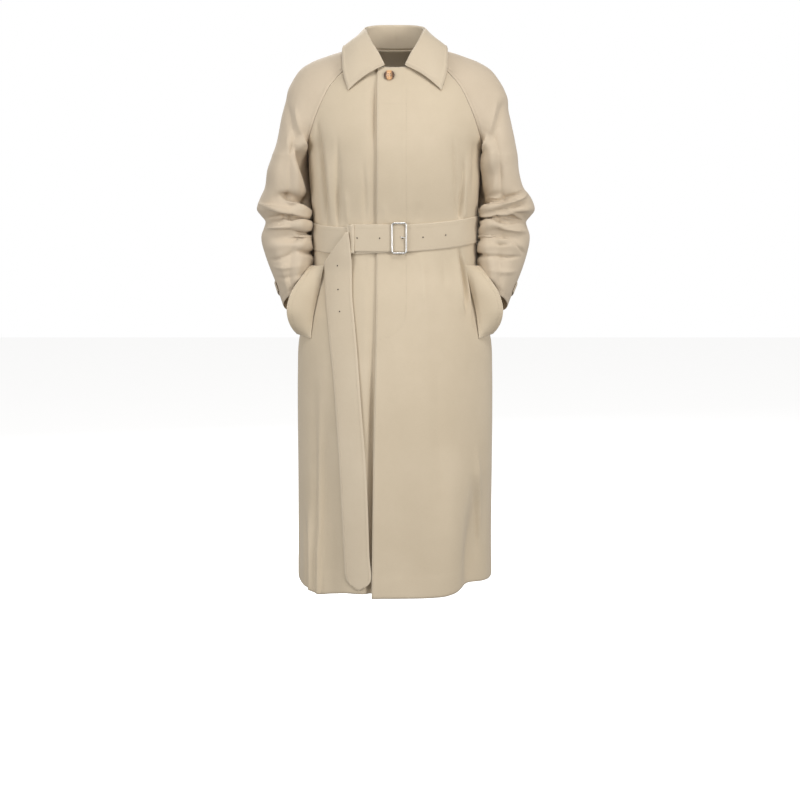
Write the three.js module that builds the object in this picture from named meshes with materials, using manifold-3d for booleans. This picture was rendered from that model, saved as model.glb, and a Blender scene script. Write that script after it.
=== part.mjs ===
// A long belted raglan coat, buttoned and belted, as it hangs on a general figure.
// Millimetres, +Z up, the front faces -Y, the origin is at the base of the neck opening.
import * as THREE from "three";
import * as BufferGeometryUtils from "three/addons/utils/BufferGeometryUtils.js";
import Module from "manifold-3d";

const wasm = await Module();
wasm.setup();

// Driving sizes
const CLOTH = 1.6;
const SEAM_GAP = 0.4;
const SECTION_POWER = 2.2;
const ARMPIT_ROW = 15;
const RAGLAN_STEPS = 9;
const NECK_ROW = ARMPIT_ROW + RAGLAN_STEPS;
const NECK_CORNER_Z = -6;
const FRONT_NECK_DROP = 34;
const BACK_NECK_Z = 8;
const UNDERLAP_X = 42;
const UNDERLAP_INSET = 3.4;
const UNDERLAP_STEP = { out: 26, in: 6 };
const OVER_FRONT_HEM_DROP = 8;
const OVER_FRONT_HEM_TURN = 1.5;
const FOLD_END_ROUNDNESS = 0.7;
const NORMAL_STEP = 0.04;
const BELT_WIDTH = 58;
const BELT_THICK = 2;
const FRONT_COLUMNS = 13;
const BACK_COLUMNS = 22;
const SLEEVE_COLUMNS = 16;
const COLLAR_COLUMNS = 24;
const COLLAR_FALL_ROWS = 5;
const COLLAR_STAND_ROWS = 3;
const COLLAR_STAND_REACH = 0.92;
const COLLAR_THICK = 2.2;
const COLLAR_ROLL_GAP = 2.6;
const COLLAR_SEAT = 0.5;
const NECK_RUN = { frontEnd: 0.155, sleeveFrom: 2.6, sleeveTo: 5.4, last: 8 };
const WELT_COLUMNS = 4;
const WELT_THICK = 2;
const WELT_BULGE = 6;
const WELT_REST = 0.9;
const BELT_REST = 0.9;
const BELT_COLUMNS = 2;
const STRAP_OVER_BAR = 5.1;
const BELT_LOOP = { halfRound: 0.035, pastBelt: 16, bendFrom: 8, bendTo: 1, inside: 4 };
const BUCKLE = {
  x: 9.3, z: -396, raised: 8.8, depth: 6, halfWide: 15, halfTall: 31.4,
  rod: 2, bevel: 0.9, corner: 5, bar: 1.6,
};
const PRONG = { start: 3, radius: 1, lift: 3, clear: 0.4, arch: 2.2, sides: 8, steps: 8 };
const HITCH = { left: -101, right: -86, top: -368, foot: -428, raised: 6.6, edgeDrop: 2.6, cells: 6 };
const TAIL_COLUMNS = 3;
const BAR_SIDES = 8;
const BUTTON_SIDES = 20;
const TOP_BUTTON = { x: -11.5, z: -58, radius: 11.3, thick: 4, lift: 0.1 };
const CUFF_TAB = { top: 13.2, foot: 14, from: 0.45, to: 0.78, lift: 0.9, rows: 2, columns: 8 };
const CUFF_BUTTON = { place: 13.6, share: 0.72, radius: 7.5, thick: 3, lift: 0.3 };

// The trunk from the hem to the armpit: half width at the side seam, depth in front and behind
const TRUNK_ROWS = [
  { z: -1150, side: 217, front: 202, back: 188 },
  { z: -1060, side: 216, front: 197, back: 183 },
  { z: -960, side: 216, front: 191, back: 176 },
  { z: -860, side: 216, front: 183, back: 169 },
  { z: -770, side: 216, front: 174, back: 160 },
  { z: -690, side: 215, front: 165, back: 151 },
  { z: -625, side: 212, front: 156, back: 142 },
  { z: -570, side: 199, front: 147, back: 132 },
  { z: -520, side: 187, front: 137, back: 121 },
  { z: -470, side: 180, front: 122, back: 105 },
  { z: -428, side: 178, front: 115.5, back: 99.5 },
  { z: -392, side: 178, front: 115, back: 99 },
  { z: -356, side: 179, front: 115.8, back: 100.5 },
  { z: -315, side: 182, front: 124, back: 110 },
  { z: -270, side: 186, front: 131, back: 119 },
  { z: -222, side: 188, front: 134, back: 124 },
];

// The raglan seams and the shoulder's crest, from the armpit up to the neck
const RAGLAN_ROWS = numbered([
  { z: -222, x: 188, y: 0, depth: 134, backZ: -222, backX: 188, backY: 0, backDepth: 124,
    crestX: 265, crestZ: -220, wrap: 180 },
  { z: -210, x: 187, y: 34, depth: 133.8, backZ: -209, backX: 187, backY: 36, backDepth: 123,
    crestX: 257, crestZ: -180, wrap: 153 },
  { z: -190, x: 184, y: 56, depth: 132, backZ: -188, backX: 184, backY: 60, backDepth: 121,
    crestX: 248, crestZ: -142, wrap: 130 },
  { z: -165, x: 176, y: 70, depth: 128, backZ: -161, backX: 176, backY: 74, backDepth: 118,
    crestX: 236, crestZ: -105, wrap: 110 },
  { z: -140, x: 167, y: 76, depth: 122, backZ: -133, backX: 165, backY: 80, backDepth: 114,
    crestX: 224, crestZ: -70, wrap: 92 },
  { z: -110, x: 154, y: 77, depth: 113, backZ: -101, backX: 150, backY: 80, backDepth: 108,
    crestX: 206, crestZ: -41, wrap: 76 },
  { z: -80, x: 139, y: 72, depth: 102, backZ: -69, backX: 133, backY: 77, backDepth: 100,
    crestX: 181, crestZ: -24, wrap: 64 },
  { z: -55, x: 118, y: 64, depth: 91, backZ: -42, backX: 112, backY: 70, backDepth: 90,
    crestX: 150, crestZ: -12, wrap: 60 },
  { z: -30, x: 92, y: 53, depth: 78, backZ: -16, backX: 86, backY: 60, backDepth: 78,
    crestX: 114, crestZ: -1, wrap: 60 },
  { z: -6, x: 62, y: 36, depth: 62, backZ: 8, backX: 55, backY: 46, backDepth: 64,
    crestX: 73, crestZ: 4, wrap: 60 },
]);

// The sleeve below the armpit: centre of each ring, half width, half depth, and how far
// its front edge is raised and its outer edge lowered for each millimetre from the centre
const SLEEVE_ROWS = numbered([
  { z: -221, x: 226.5, y: 0, wide: 38.5, deep: 77, raise: 0, lower: 0 },
  { z: -262, x: 229.5, y: 2, wide: 40.5, deep: 76, raise: 0, lower: 0.05 },
  { z: -288, x: 231.5, y: 5, wide: 44.5, deep: 75, raise: -0.02, lower: 0.08 },
  { z: -306, x: 236.5, y: 8, wide: 50.5, deep: 73, raise: -0.04, lower: 0.1 },
  { z: -320, x: 239.5, y: 10, wide: 55.5, deep: 72, raise: -0.03, lower: 0.1 },
  { z: -333, x: 241.5, y: 12, wide: 58.5, deep: 71, raise: 0, lower: 0.1 },
  { z: -347, x: 237, y: 11, wide: 55, deep: 69, raise: 0.04, lower: 0.1 },
  { z: -360, x: 233.5, y: 9, wide: 49.5, deep: 67, raise: 0.08, lower: 0.1 },
  { z: -374, x: 236, y: 7, wide: 50, deep: 66, raise: 0.1, lower: 0.1 },
  { z: -390, x: 240, y: 4, wide: 53.5, deep: 65, raise: 0.12, lower: 0.12 },
  { z: -408, x: 240, y: 0, wide: 53.5, deep: 63, raise: 0.15, lower: 0.15 },
  { z: -432, x: 236, y: -4, wide: 52, deep: 60, raise: 0.2, lower: 0.2 },
  { z: -456, x: 234.5, y: -8, wide: 45.5, deep: 57, raise: 0.25, lower: 0.24 },
  { z: -484, x: 233, y: -12, wide: 36, deep: 55, raise: 0.3, lower: 0.28 },
  { z: -512, x: 229, y: -14, wide: 29, deep: 53, raise: 0.35, lower: 0.32 },
  { z: -541, x: 225, y: -15, wide: 23, deep: 52, raise: 0.38, lower: 0.36 },
]);

// Where the over front's free edge runs
const OVERLAP_ROWS = [
  { z: -1160, x: -49 },
  { z: -870, x: -45 },
  { z: -590, x: -40 },
  { z: -320, x: -38 },
  { z: -40, x: -36 },
];

// The main folds of the fronts: each runs from its top to its foot, out if its height is positive
const FRONT_FOLDS = [
  { topX: -159, topZ: -130, footX: -158, footZ: -345, width: 13, height: -5 },
  { topX: -138, topZ: -150, footX: -137, footZ: -345, width: 13, height: 4 },
  { topX: -119, topZ: -195, footX: -117, footZ: -350, width: 11, height: -5 },
  { topX: -62, topZ: -270, footX: -59, footZ: -350, width: 12, height: -4 },
  { topX: 138, topZ: -215, footX: 137, footZ: -350, width: 10, height: -8 },
  { topX: 155, topZ: -195, footX: 153, footZ: -350, width: 12, height: 6 },
  { topX: 128, topZ: -440, footX: 150, footZ: -560, width: 12, height: 6 },
  { topX: 143, topZ: -440, footX: 163, footZ: -560, width: 9, height: -8 },
  { topX: -150, topZ: -450, footX: -158, footZ: -570, width: 16, height: -5 },
  { topX: 62, topZ: -430, footX: 66, footZ: -640, width: 20, height: 4 },
  { topX: -140, topZ: -700, footX: -146, footZ: -1250, width: 24, height: -10 },
  { topX: -172, topZ: -880, footX: -176, footZ: -1300, width: 26, height: 16 },
  { topX: 186, topZ: -900, footX: 164, footZ: -1260, width: 24, height: -24 },
  { topX: 120, topZ: -820, footX: 112, footZ: -1260, width: 34, height: 8 },
  { topX: 20, topZ: -760, footX: 26, footZ: -1300, width: 34, height: -4 },
];

// The folds of the back, gathered under the belt and falling to the hem
const BACK_FOLDS = [
  { topX: -120, topZ: -170, footX: -110, footZ: -350, width: 18, height: -6 },
  { topX: -48, topZ: -200, footX: -42, footZ: -350, width: 16, height: 5 },
  { topX: 40, topZ: -190, footX: 36, footZ: -350, width: 17, height: -5 },
  { topX: 112, topZ: -170, footX: 104, footZ: -350, width: 18, height: 6 },
  { topX: -92, topZ: -440, footX: -104, footZ: -700, width: 18, height: -7 },
  { topX: -20, topZ: -440, footX: -24, footZ: -760, width: 22, height: 6 },
  { topX: 70, topZ: -440, footX: 84, footZ: -720, width: 18, height: -7 },
  { topX: -60, topZ: -700, footX: -72, footZ: -1300, width: 34, height: 12 },
  { topX: 10, topZ: -760, footX: 12, footZ: -1300, width: 30, height: -12 },
  { topX: 96, topZ: -720, footX: 112, footZ: -1300, width: 36, height: 13 },
  { topX: -150, topZ: -760, footX: -164, footZ: -1300, width: 28, height: -12 },
];

// The folds round each elbow: height above the sleeve at the outer and the inner side
const ELBOW_FOLDS = [
  { outerZ: -328, innerZ: -345, width: 9, height: 6, from: -175, to: -20 },
  { outerZ: -300, innerZ: -318, width: 10, height: -6, from: -178, to: -60 },
  { outerZ: -352, innerZ: -366, width: 8, height: -5, from: -175, to: -10 },
  { outerZ: -366, innerZ: -388, width: 9, height: 6, from: -170, to: -20 },
  { outerZ: -398, innerZ: -412, width: 10, height: -6, from: -178, to: -50 },
  { outerZ: -414, innerZ: -436, width: 10, height: 4, from: -165, to: -20 },
  { outerZ: -342, innerZ: -350, width: 10, height: 5, from: 20, to: 170 },
  { outerZ: -372, innerZ: -384, width: 11, height: -5, from: 20, to: 175 },
  { outerZ: -402, innerZ: -414, width: 11, height: 4, from: 20, to: 165 },
];

// The collar from its front edge to the centre of the back: roll line, then outer edge
const COLLAR_ROWS = numbered([
  { rollX: 21, rollY: -88, rollZ: -36, edgeX: 98, edgeY: -97, edgeZ: -88, bulge: 6 },
  { rollX: 33, rollY: -80, rollZ: -12, edgeX: 108, edgeY: -79, edgeZ: -54, bulge: 6 },
  { rollX: 48, rollY: -63, rollZ: 12, edgeX: 111, edgeY: -58, edgeZ: -24, bulge: 5 },
  { rollX: 58, rollY: -38, rollZ: 33, edgeX: 112, edgeY: -33, edgeZ: -1, bulge: 3 },
  { rollX: 63, rollY: -6, rollZ: 45, edgeX: 111, edgeY: 2, edgeZ: 5, bulge: 0 },
  { rollX: 61, rollY: 25, rollZ: 52, edgeX: 97, edgeY: 42, edgeZ: 5, bulge: 1 },
  { rollX: 48, rollY: 48, rollZ: 57, edgeX: 76, edgeY: 73, edgeZ: -2, bulge: 4 },
  { rollX: 26, rollY: 65, rollZ: 60, edgeX: 40, edgeY: 93, edgeZ: -12, bulge: 6 },
  { rollX: 0, rollY: 71, rollZ: 61, edgeX: 0, edgeY: 99, edgeZ: -17, bulge: 6 },
]);

// The pocket welt from its top end to its foot: its sewn edge, its free edge and how far that stands out
const WELT_ROWS = numbered([
  { sewnX: 152, sewnZ: -456, freeX: 185, freeY: -46, freeZ: -456 },
  { sewnX: 158, sewnZ: -484, freeX: 201, freeY: -68, freeZ: -480 },
  { sewnX: 163, sewnZ: -510, freeX: 217, freeY: -83, freeZ: -503 },
  { sewnX: 168, sewnZ: -536, freeX: 228, freeY: -91, freeZ: -528 },
  { sewnX: 172, sewnZ: -562, freeX: 232, freeY: -92, freeZ: -554 },
  { sewnX: 176, sewnZ: -588, freeX: 227, freeY: -80, freeZ: -582 },
  { sewnX: 180, sewnZ: -612, freeX: 214, freeY: -62, freeZ: -606 },
]);

// The hanging belt end, from the hitch down to its point
const TAIL_ROWS = numbered([
  { z: -384, left: -103, right: -98 },
  { z: -404, left: -118, right: -95 },
  { z: -428, left: -136, right: -93 },
  { z: -450, left: -150, right: -91 },
  { z: -470, left: -150, right: -91 },
  { z: -520, left: -148, right: -90 },
  { z: -570, left: -143, right: -85 },
  { z: -625, left: -138, right: -80 },
  { z: -690, left: -131, right: -75 },
  { z: -770, left: -125, right: -69 },
  { z: -860, left: -119, right: -62 },
  { z: -960, left: -114, right: -57 },
  { z: -1060, left: -109, right: -54 },
  { z: -1118, left: -104, right: -51 },
  { z: -1140, left: -79, right: -74 },
]);

// How far the tail stands in front of the coat
const TAIL_RAISE = [
  { z: -384, raised: 9.4 },
  { z: -430, raised: 9.2 },
  { z: -470, raised: 4 },
  { z: -560, raised: 2.8 },
  { z: -1150, raised: 2.8 },
];

// The belt's run, from the hitch through the buckle, round the waist and back under itself
const BELT_ROWS = [
  { round: -0.32, z: -396, raised: 3.8, steps: 5 },
  { round: -0.02, z: -396, raised: 3.8, steps: 2 },
  { round: 0.025, z: -396, raised: 5.1, steps: 2 },
  { round: 0.072, z: -396, raised: 3.9, steps: 3 },
  { round: 0.2, z: -394, raised: 1, steps: 9 },
  { round: 1, z: -380, raised: 0.9, steps: 22 },
  { round: 3, z: -394, raised: 0.9, steps: 7 },
  { round: 3.6, z: -402, raised: 0.9, steps: 5 },
  { round: 4.018, z: -397, raised: 0.9, steps: 1 },
];

// Half of a button's section, from its middle at the back round the rim to its middle in front
const BUTTON_PROFILE = [
  { out: 0, up: 0 },
  { out: 0.72, up: 0 },
  { out: 1, up: 0.45 },
  { out: 0.96, up: 0.85 },
  { out: 0.84, up: 1 },
  { out: 0.68, up: 0.7 },
  { out: 0, up: 0.6 },
];

const COLOURS = {
  body: 0xd3c4a8,
  sleeve: 0xcbbb9f,
  collar: 0xd2c3a6,
  belt: 0xd0c1a4,
  metal: 0xc9c8c4,
  horn: 0x9a7350,
};

function clothMaterial(colour) {
  return new THREE.MeshStandardMaterial({ color: colour, roughness: 0.82, metalness: 0 });
}

const MATERIALS = {
  body: clothMaterial(COLOURS.body),
  sleeve: clothMaterial(COLOURS.sleeve),
  collar: clothMaterial(COLOURS.collar),
  belt: clothMaterial(COLOURS.belt),
  metal: new THREE.MeshStandardMaterial({ color: COLOURS.metal, roughness: 0.28, metalness: 1 }),
  horn: new THREE.MeshStandardMaterial({ color: COLOURS.horn, roughness: 0.35, metalness: 0 }),
};

const coat = new THREE.Group();

// Reading the tables

function numbered(rows) {
  return rows.map((row, at) => ({ ...row, at }));
}

function slopeAt(rows, key, column, i) {
  const before = rows[Math.max(i - 1, 0)];
  const after = rows[Math.min(i + 1, rows.length - 1)];
  return (after[column] - before[column]) / (after[key] - before[key]);
}

function readColumn(rows, key, place, column) {
  const rising = rows[rows.length - 1][key] > rows[0][key];
  const passed = (row) => (rising ? row[key] <= place : row[key] >= place);
  let i = 0;
  while (i < rows.length - 2 && passed(rows[i + 1])) {
    i += 1;
  }
  const span = rows[i + 1][key] - rows[i][key];
  const t = THREE.MathUtils.clamp((place - rows[i][key]) / span, 0, 1);
  const a = rows[i][column];
  const b = rows[i + 1][column];
  const slopeA = slopeAt(rows, key, column, i) * span;
  const slopeB = slopeAt(rows, key, column, i + 1) * span;
  const rise = t * t * (3 - 2 * t);
  const lead = t * (1 - t) * (1 - t);
  const tail = t * t * (t - 1);
  return a + (b - a) * rise + slopeA * lead + slopeB * tail;
}

function readRow(rows, key, place) {
  const result = {};
  for (const column of Object.keys(rows[0])) {
    result[column] = column === key ? place : readColumn(rows, key, place, column);
  }
  return result;
}

function smooth(from, to, value) {
  return THREE.MathUtils.smoothstep(value, from, to);
}

// The coat's body

function seamHalfWidth(x, y, depth) {
  const share = 1 - (y / depth) ** SECTION_POWER;
  return x / share ** (1 / SECTION_POWER);
}

// The section at one height: its half width, its depth, and the angle at which its panel ends
function trunkSection(z, behind) {
  if (z <= RAGLAN_ROWS[0].z) {
    const row = readRow(TRUNK_ROWS, "z", Math.max(z, TRUNK_ROWS[0].z));
    return { half: row.side, depth: behind ? row.back : row.front, sweep: Math.PI / 2 };
  }
  const key = behind ? "backZ" : "z";
  const row = readRow(RAGLAN_ROWS, key, z);
  const x = behind ? row.backX : row.x;
  const y = behind ? row.backY : row.y;
  const depth = behind ? row.backDepth : row.depth;
  const half = seamHalfWidth(x, y, depth);
  return { half, depth, sweep: Math.asin(Math.min(1, (x / half) ** (SECTION_POWER / 2))) };
}

function foldHeight(folds, x, z) {
  let height = 0;
  for (const fold of folds) {
    const along = (fold.topZ - z) / (fold.topZ - fold.footZ);
    if (along <= 0 || along >= 1) {
      continue;
    }
    const centre = fold.topX + (fold.footX - fold.topX) * along;
    const across = (x - centre) / fold.width;
    height += fold.height * Math.sin(Math.PI * along) ** FOLD_END_ROUNDNESS * Math.exp(-across * across);
  }
  return height;
}

function signedPower(value, power) {
  return Math.sign(value) * Math.abs(value) ** power;
}

// A point of the trunk: across runs from -1 at one seam to 1 at the other, raised lies outside it
function trunkPoint(across, z, behind, raised = 0) {
  const section = trunkSection(z, behind);
  const angle = across * section.sweep;
  const facing = behind ? 1 : -1;
  const x = section.half * signedPower(Math.sin(angle), 2 / SECTION_POWER);
  const y = facing * section.depth * signedPower(Math.cos(angle), 2 / SECTION_POWER);
  const power = SECTION_POWER - 1;
  const outX = signedPower(x / section.half, power) / section.half;
  const outY = signedPower(y / section.depth, power) / section.depth;
  const length = Math.hypot(outX, outY);
  const lift = raised + foldHeight(behind ? BACK_FOLDS : FRONT_FOLDS, x, z);
  return new THREE.Vector3(x + (lift * outX) / length, y + (lift * outY) / length, z);
}

function acrossAt(x, z, behind) {
  const section = trunkSection(z, behind);
  const share = Math.min(1, Math.abs(x) / section.half);
  return (Math.sign(x) * Math.asin(share ** (SECTION_POWER / 2))) / section.sweep;
}

// Heights of a panel's rows: the hem to the armpit, then up to its own neck edge
function panelHeight(row, across, hem, neck) {
  if (row <= ARMPIT_ROW) {
    const i = Math.min(Math.floor(Math.max(row, 0)), ARMPIT_ROW - 1);
    const low = i === 0 ? hem : TRUNK_ROWS[i].z;
    return low + (TRUNK_ROWS[i + 1].z - low) * (row - i);
  }
  const armpit = RAGLAN_ROWS[0].z;
  const place = Math.min(row - ARMPIT_ROW, RAGLAN_STEPS);
  const i = Math.min(Math.floor(place), RAGLAN_STEPS - 1);
  const key = neck.key;
  const seamZ = RAGLAN_ROWS[i][key] + (RAGLAN_ROWS[i + 1][key] - RAGLAN_ROWS[i][key]) * (place - i);
  const share = (seamZ - armpit) / (neck.corner - armpit);
  return armpit + share * (neck.edge(across) - armpit);
}

const FRONT_NECK = {
  key: "z",
  corner: NECK_CORNER_Z,
  edge: (across) => NECK_CORNER_Z - FRONT_NECK_DROP * (1 - across * across),
};

const BACK_NECK = {
  key: "backZ",
  corner: BACK_NECK_Z,
  edge: () => BACK_NECK_Z,
};

function frontEdgeAcross(row, hem, edgeX) {
  let across = 0;
  for (let turn = 0; turn < 3; turn += 1) {
    const z = panelHeight(row, across, hem, FRONT_NECK);
    across = acrossAt(edgeX(z), z, false);
  }
  return across;
}

function overFrontPoint(row, share) {
  const hem = TRUNK_ROWS[0].z - OVER_FRONT_HEM_DROP;
  const start = frontEdgeAcross(row, hem, (z) => readColumn(OVERLAP_ROWS, "z", z, "x"));
  const across = start + (1 - start) * share;
  const hemHere = TRUNK_ROWS[0].z - OVER_FRONT_HEM_DROP * Math.cos(across * OVER_FRONT_HEM_TURN);
  return trunkPoint(across, panelHeight(row, across, hemHere, FRONT_NECK), false);
}

function underFrontPoint(row, share) {
  const hem = TRUNK_ROWS[0].z;
  const start = frontEdgeAcross(row, hem, () => UNDERLAP_X);
  const across = start + (-1 - start) * share;
  const z = panelHeight(row, across, hem, FRONT_NECK);
  const x = trunkPoint(across, z, false).x;
  const edge = readColumn(OVERLAP_ROWS, "z", z, "x");
  const under = smooth(edge - UNDERLAP_STEP.out, edge - UNDERLAP_STEP.in, x);
  return trunkPoint(across, z, false, -UNDERLAP_INSET * under);
}

function backPoint(row, share) {
  const across = 2 * share - 1;
  return trunkPoint(across, panelHeight(row, across, TRUNK_ROWS[0].z, BACK_NECK), true);
}

// The sleeves

function raglanRing(place) {
  const row = readRow(RAGLAN_ROWS, "at", place);
  const front = new THREE.Vector3(row.x, -row.y, row.z);
  const back = new THREE.Vector3(row.backX, row.backY, row.backZ);
  const middle = front.clone().add(back).multiplyScalar(0.5);
  const crest = new THREE.Vector3(row.crestX, middle.y, row.crestZ);
  const outward = crest.clone().sub(middle);
  const wrap = THREE.MathUtils.degToRad(row.wrap);
  const wide = outward.length() / (1 - Math.cos(wrap));
  outward.normalize();
  return { crest, outward, wide, wrap, front, back };
}

function raglanPoint(place, share) {
  const ring = raglanRing(place);
  const angle = (2 * share - 1) * ring.wrap;
  const chord = ring.back.clone().sub(ring.front);
  const halfChord = chord.length() / 2;
  const closed = place <= 0;
  const deep = closed ? SLEEVE_ROWS[0].deep : halfChord / Math.sin(ring.wrap);
  const along = chord.length() > 1 ? chord.normalize() : new THREE.Vector3(0, 1, 0);
  return ring.crest
    .clone()
    .addScaledVector(ring.outward, ring.wide * (Math.cos(angle) - 1))
    .addScaledVector(along, deep * Math.sin(angle));
}

function elbowFold(angle, z) {
  const degrees = THREE.MathUtils.radToDeg(angle);
  let height = 0;
  for (const fold of ELBOW_FOLDS) {
    const along = (degrees - fold.from) / (fold.to - fold.from);
    if (along <= 0 || along >= 1) {
      continue;
    }
    const inward = Math.abs(degrees) / 180;
    const centre = fold.outerZ + (fold.innerZ - fold.outerZ) * inward;
    const off = (z - centre) / fold.width;
    height += fold.height * Math.sin(Math.PI * along) * Math.exp(-off * off);
  }
  return height;
}

function armPoint(place, share) {
  const row = readRow(SLEEVE_ROWS, "at", place);
  const angle = (2 * share - 1) * Math.PI;
  const lift = elbowFold(angle, row.z);
  const x = (row.wide + lift) * Math.cos(angle);
  const y = (row.deep + lift) * Math.sin(angle);
  return new THREE.Vector3(row.x + x, row.y + y, row.z - row.raise * y - row.lower * x);
}

// Rows run from the neck down to the cuff; side is 1 for the wearer's left arm
function sleevePoint(row, share, side) {
  const clear = SEAM_GAP * 2;
  const point = row <= RAGLAN_STEPS
    ? raglanPoint(RAGLAN_STEPS - row, share)
    : armPoint(row - RAGLAN_STEPS, share);
  point.x += clear * smooth(RAGLAN_STEPS - 3, RAGLAN_STEPS, row);
  point.x *= side;
  return point;
}

// Closed solids from grids

function addSolid(name, points, faces, material) {
  const geometry = new THREE.BufferGeometry();
  const values = points.flatMap((point) => [point.x, point.y, point.z]);
  geometry.setAttribute("position", new THREE.Float32BufferAttribute(values, 3));
  let volume = 0;
  for (const [a, b, c] of faces) {
    volume += points[a].dot(points[b].clone().cross(points[c]));
  }
  const outward = volume > 0 ? faces : faces.map(([a, b, c]) => [a, c, b]);
  geometry.setIndex(outward.flat());
  geometry.computeVertexNormals();
  const mesh = new THREE.Mesh(geometry, material);
  mesh.name = name;
  coat.add(mesh);
  return mesh;
}

function surfaceNormal(pointAt, i, j, step) {
  const alongRows = pointAt(i + step, j).sub(pointAt(i - step, j));
  const alongColumns = pointAt(i, j + step).sub(pointAt(i, j - step));
  return alongRows.cross(alongColumns).normalize();
}

function trimEdges(grid, trim) {
  const rows = grid.length;
  const columns = grid[0].length;
  const shift = (target, towards, amount) => {
    const move = towards.outer.clone().sub(target.outer).setLength(amount);
    target.outer.add(move);
    target.inner.add(move);
  };
  for (let i = 0; i < rows; i += 1) {
    if (trim.start && i < (trim.startRows ?? rows)) {
      shift(grid[i][0], grid[i][1], trim.start);
    }
    if (trim.end && i < (trim.startRows ?? rows)) {
      shift(grid[i][columns - 1], grid[i][columns - 2], trim.end);
    }
  }
  for (let j = 0; j < columns; j += 1) {
    if (trim.last) {
      shift(grid[rows - 1][j], grid[rows - 2][j], trim.last);
    }
    if (trim.first) {
      shift(grid[0][j], grid[1][j], trim.first);
    }
  }
}

// A wall of cloth on a grid of rows and columns. facing is 1 where rows x columns points outside.
// From the row closedFrom on, the first and last columns are one.
function addWall(name, material, rows, columns, pointAt, options) {
  const { facing, thick = CLOTH, closedFrom = rows + 1, trim = {}, outside = false } = options;
  const grid = [];
  for (let i = 0; i <= rows; i += 1) {
    const line = [];
    for (let j = 0; j <= columns; j += 1) {
      const point = pointAt(i, j);
      const normal = surfaceNormal(pointAt, i, j, NORMAL_STEP).multiplyScalar(facing);
      const outer = outside ? point.clone().addScaledVector(normal, thick) : point.clone();
      const inner = outside ? point.clone() : point.clone().addScaledVector(normal, -thick);
      line.push({ outer, inner });
    }
    grid.push(line);
  }
  trimEdges(grid, { ...trim, startRows: Math.min(closedFrom, rows + 1) });
  const points = [];
  const index = [];
  for (let i = 0; i <= rows; i += 1) {
    index.push([]);
    for (let j = 0; j <= columns; j += 1) {
      if (i >= closedFrom && j === columns) {
        index[i].push(index[i][0]);
        continue;
      }
      index[i].push(points.length);
      points.push(grid[i][j].outer, grid[i][j].inner);
    }
  }
  const faces = [];
  const addQuad = (a, b, c, d) => {
    faces.push([a, b, c], [a, c, d]);
  };
  for (let i = 0; i < rows; i += 1) {
    for (let j = 0; j < columns; j += 1) {
      const [a, b, c, d] = [index[i][j], index[i + 1][j], index[i + 1][j + 1], index[i][j + 1]];
      addQuad(a, b, c, d);
      addQuad(a + 1, d + 1, c + 1, b + 1);
    }
  }
  for (let i = 0; i < Math.min(rows, closedFrom); i += 1) {
    const [a, b] = [index[i][0], index[i + 1][0]];
    addQuad(a, a + 1, b + 1, b);
    const [c, d] = [index[i][columns], index[i + 1][columns]];
    addQuad(d, d + 1, c + 1, c);
  }
  for (let j = 0; j < columns; j += 1) {
    const [a, b] = [index[0][j], index[0][j + 1]];
    addQuad(b, b + 1, a + 1, a);
    const [c, d] = [index[rows][j], index[rows][j + 1]];
    addQuad(c, c + 1, d + 1, d);
  }
  return addSolid(name, points, faces, material);
}

// The panels

function buildFronts() {
  const edge = SEAM_GAP / 2;
  addWall("front_left", MATERIALS.body, NECK_ROW, FRONT_COLUMNS,
    (i, j) => overFrontPoint(i, j / FRONT_COLUMNS),
    { facing: -1, trim: { end: edge, last: SEAM_GAP } });
  addWall("front_right", MATERIALS.body, NECK_ROW, FRONT_COLUMNS,
    (i, j) => underFrontPoint(i, j / FRONT_COLUMNS),
    { facing: 1, trim: { end: edge, last: SEAM_GAP } });
}

function buildBack() {
  const edge = SEAM_GAP / 2;
  addWall("back", MATERIALS.body, NECK_ROW, BACK_COLUMNS,
    (i, j) => backPoint(i, j / BACK_COLUMNS),
    { facing: 1, trim: { start: edge, end: edge, last: SEAM_GAP } });
}

function buildSleeve(name, side) {
  const rows = RAGLAN_STEPS + SLEEVE_ROWS.length - 1;
  addWall(name, MATERIALS.sleeve, rows, SLEEVE_COLUMNS,
    (i, j) => sleevePoint(i, j / SLEEVE_COLUMNS, side),
    { facing: side, closedFrom: RAGLAN_STEPS, trim: { start: SEAM_GAP, end: SEAM_GAP, first: SEAM_GAP } });
}

// The collar

// The neck edge of the panels, from the collar's front end to the centre of the back
function neckPoint(at) {
  const { frontEnd, sleeveFrom, sleeveTo, last } = NECK_RUN;
  if (at <= sleeveFrom) {
    const across = frontEnd + ((1 - frontEnd) * Math.max(at, 0)) / sleeveFrom;
    return trunkPoint(across, FRONT_NECK.edge(across), false);
  }
  if (at < sleeveTo) {
    return raglanPoint(RAGLAN_STEPS, (at - sleeveFrom) / (sleeveTo - sleeveFrom));
  }
  return trunkPoint((last - at) / (last - sleeveTo), BACK_NECK_Z, true);
}

function collarRow(u) {
  const at = (COLLAR_ROWS.length - 1) * (1 - Math.abs(u));
  const row = readRow(COLLAR_ROWS, "at", at);
  const side = u < 0 ? -1 : 1;
  const roll = new THREE.Vector3(side * row.rollX, row.rollY, row.rollZ);
  const edge = new THREE.Vector3(side * row.edgeX, row.edgeY, row.edgeZ);
  const neck = neckPoint(at);
  neck.x *= side;
  neck.z += COLLAR_SEAT;
  return { roll, neck, edge, lift: row.bulge };
}

function collarFallPoint(across, u) {
  const { roll, edge, lift } = collarRow(u);
  const fall = edge.clone().sub(roll);
  const outward = new THREE.Vector3(roll.x + edge.x, roll.y + edge.y, 0).normalize();
  const reach = Math.max(fall.dot(outward), 1);
  const bulge = outward.multiplyScalar(-fall.z).add(new THREE.Vector3(0, 0, reach)).normalize();
  return roll
    .addScaledVector(fall, across)
    .addScaledVector(bulge, lift * Math.sin(Math.PI * across));
}

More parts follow.
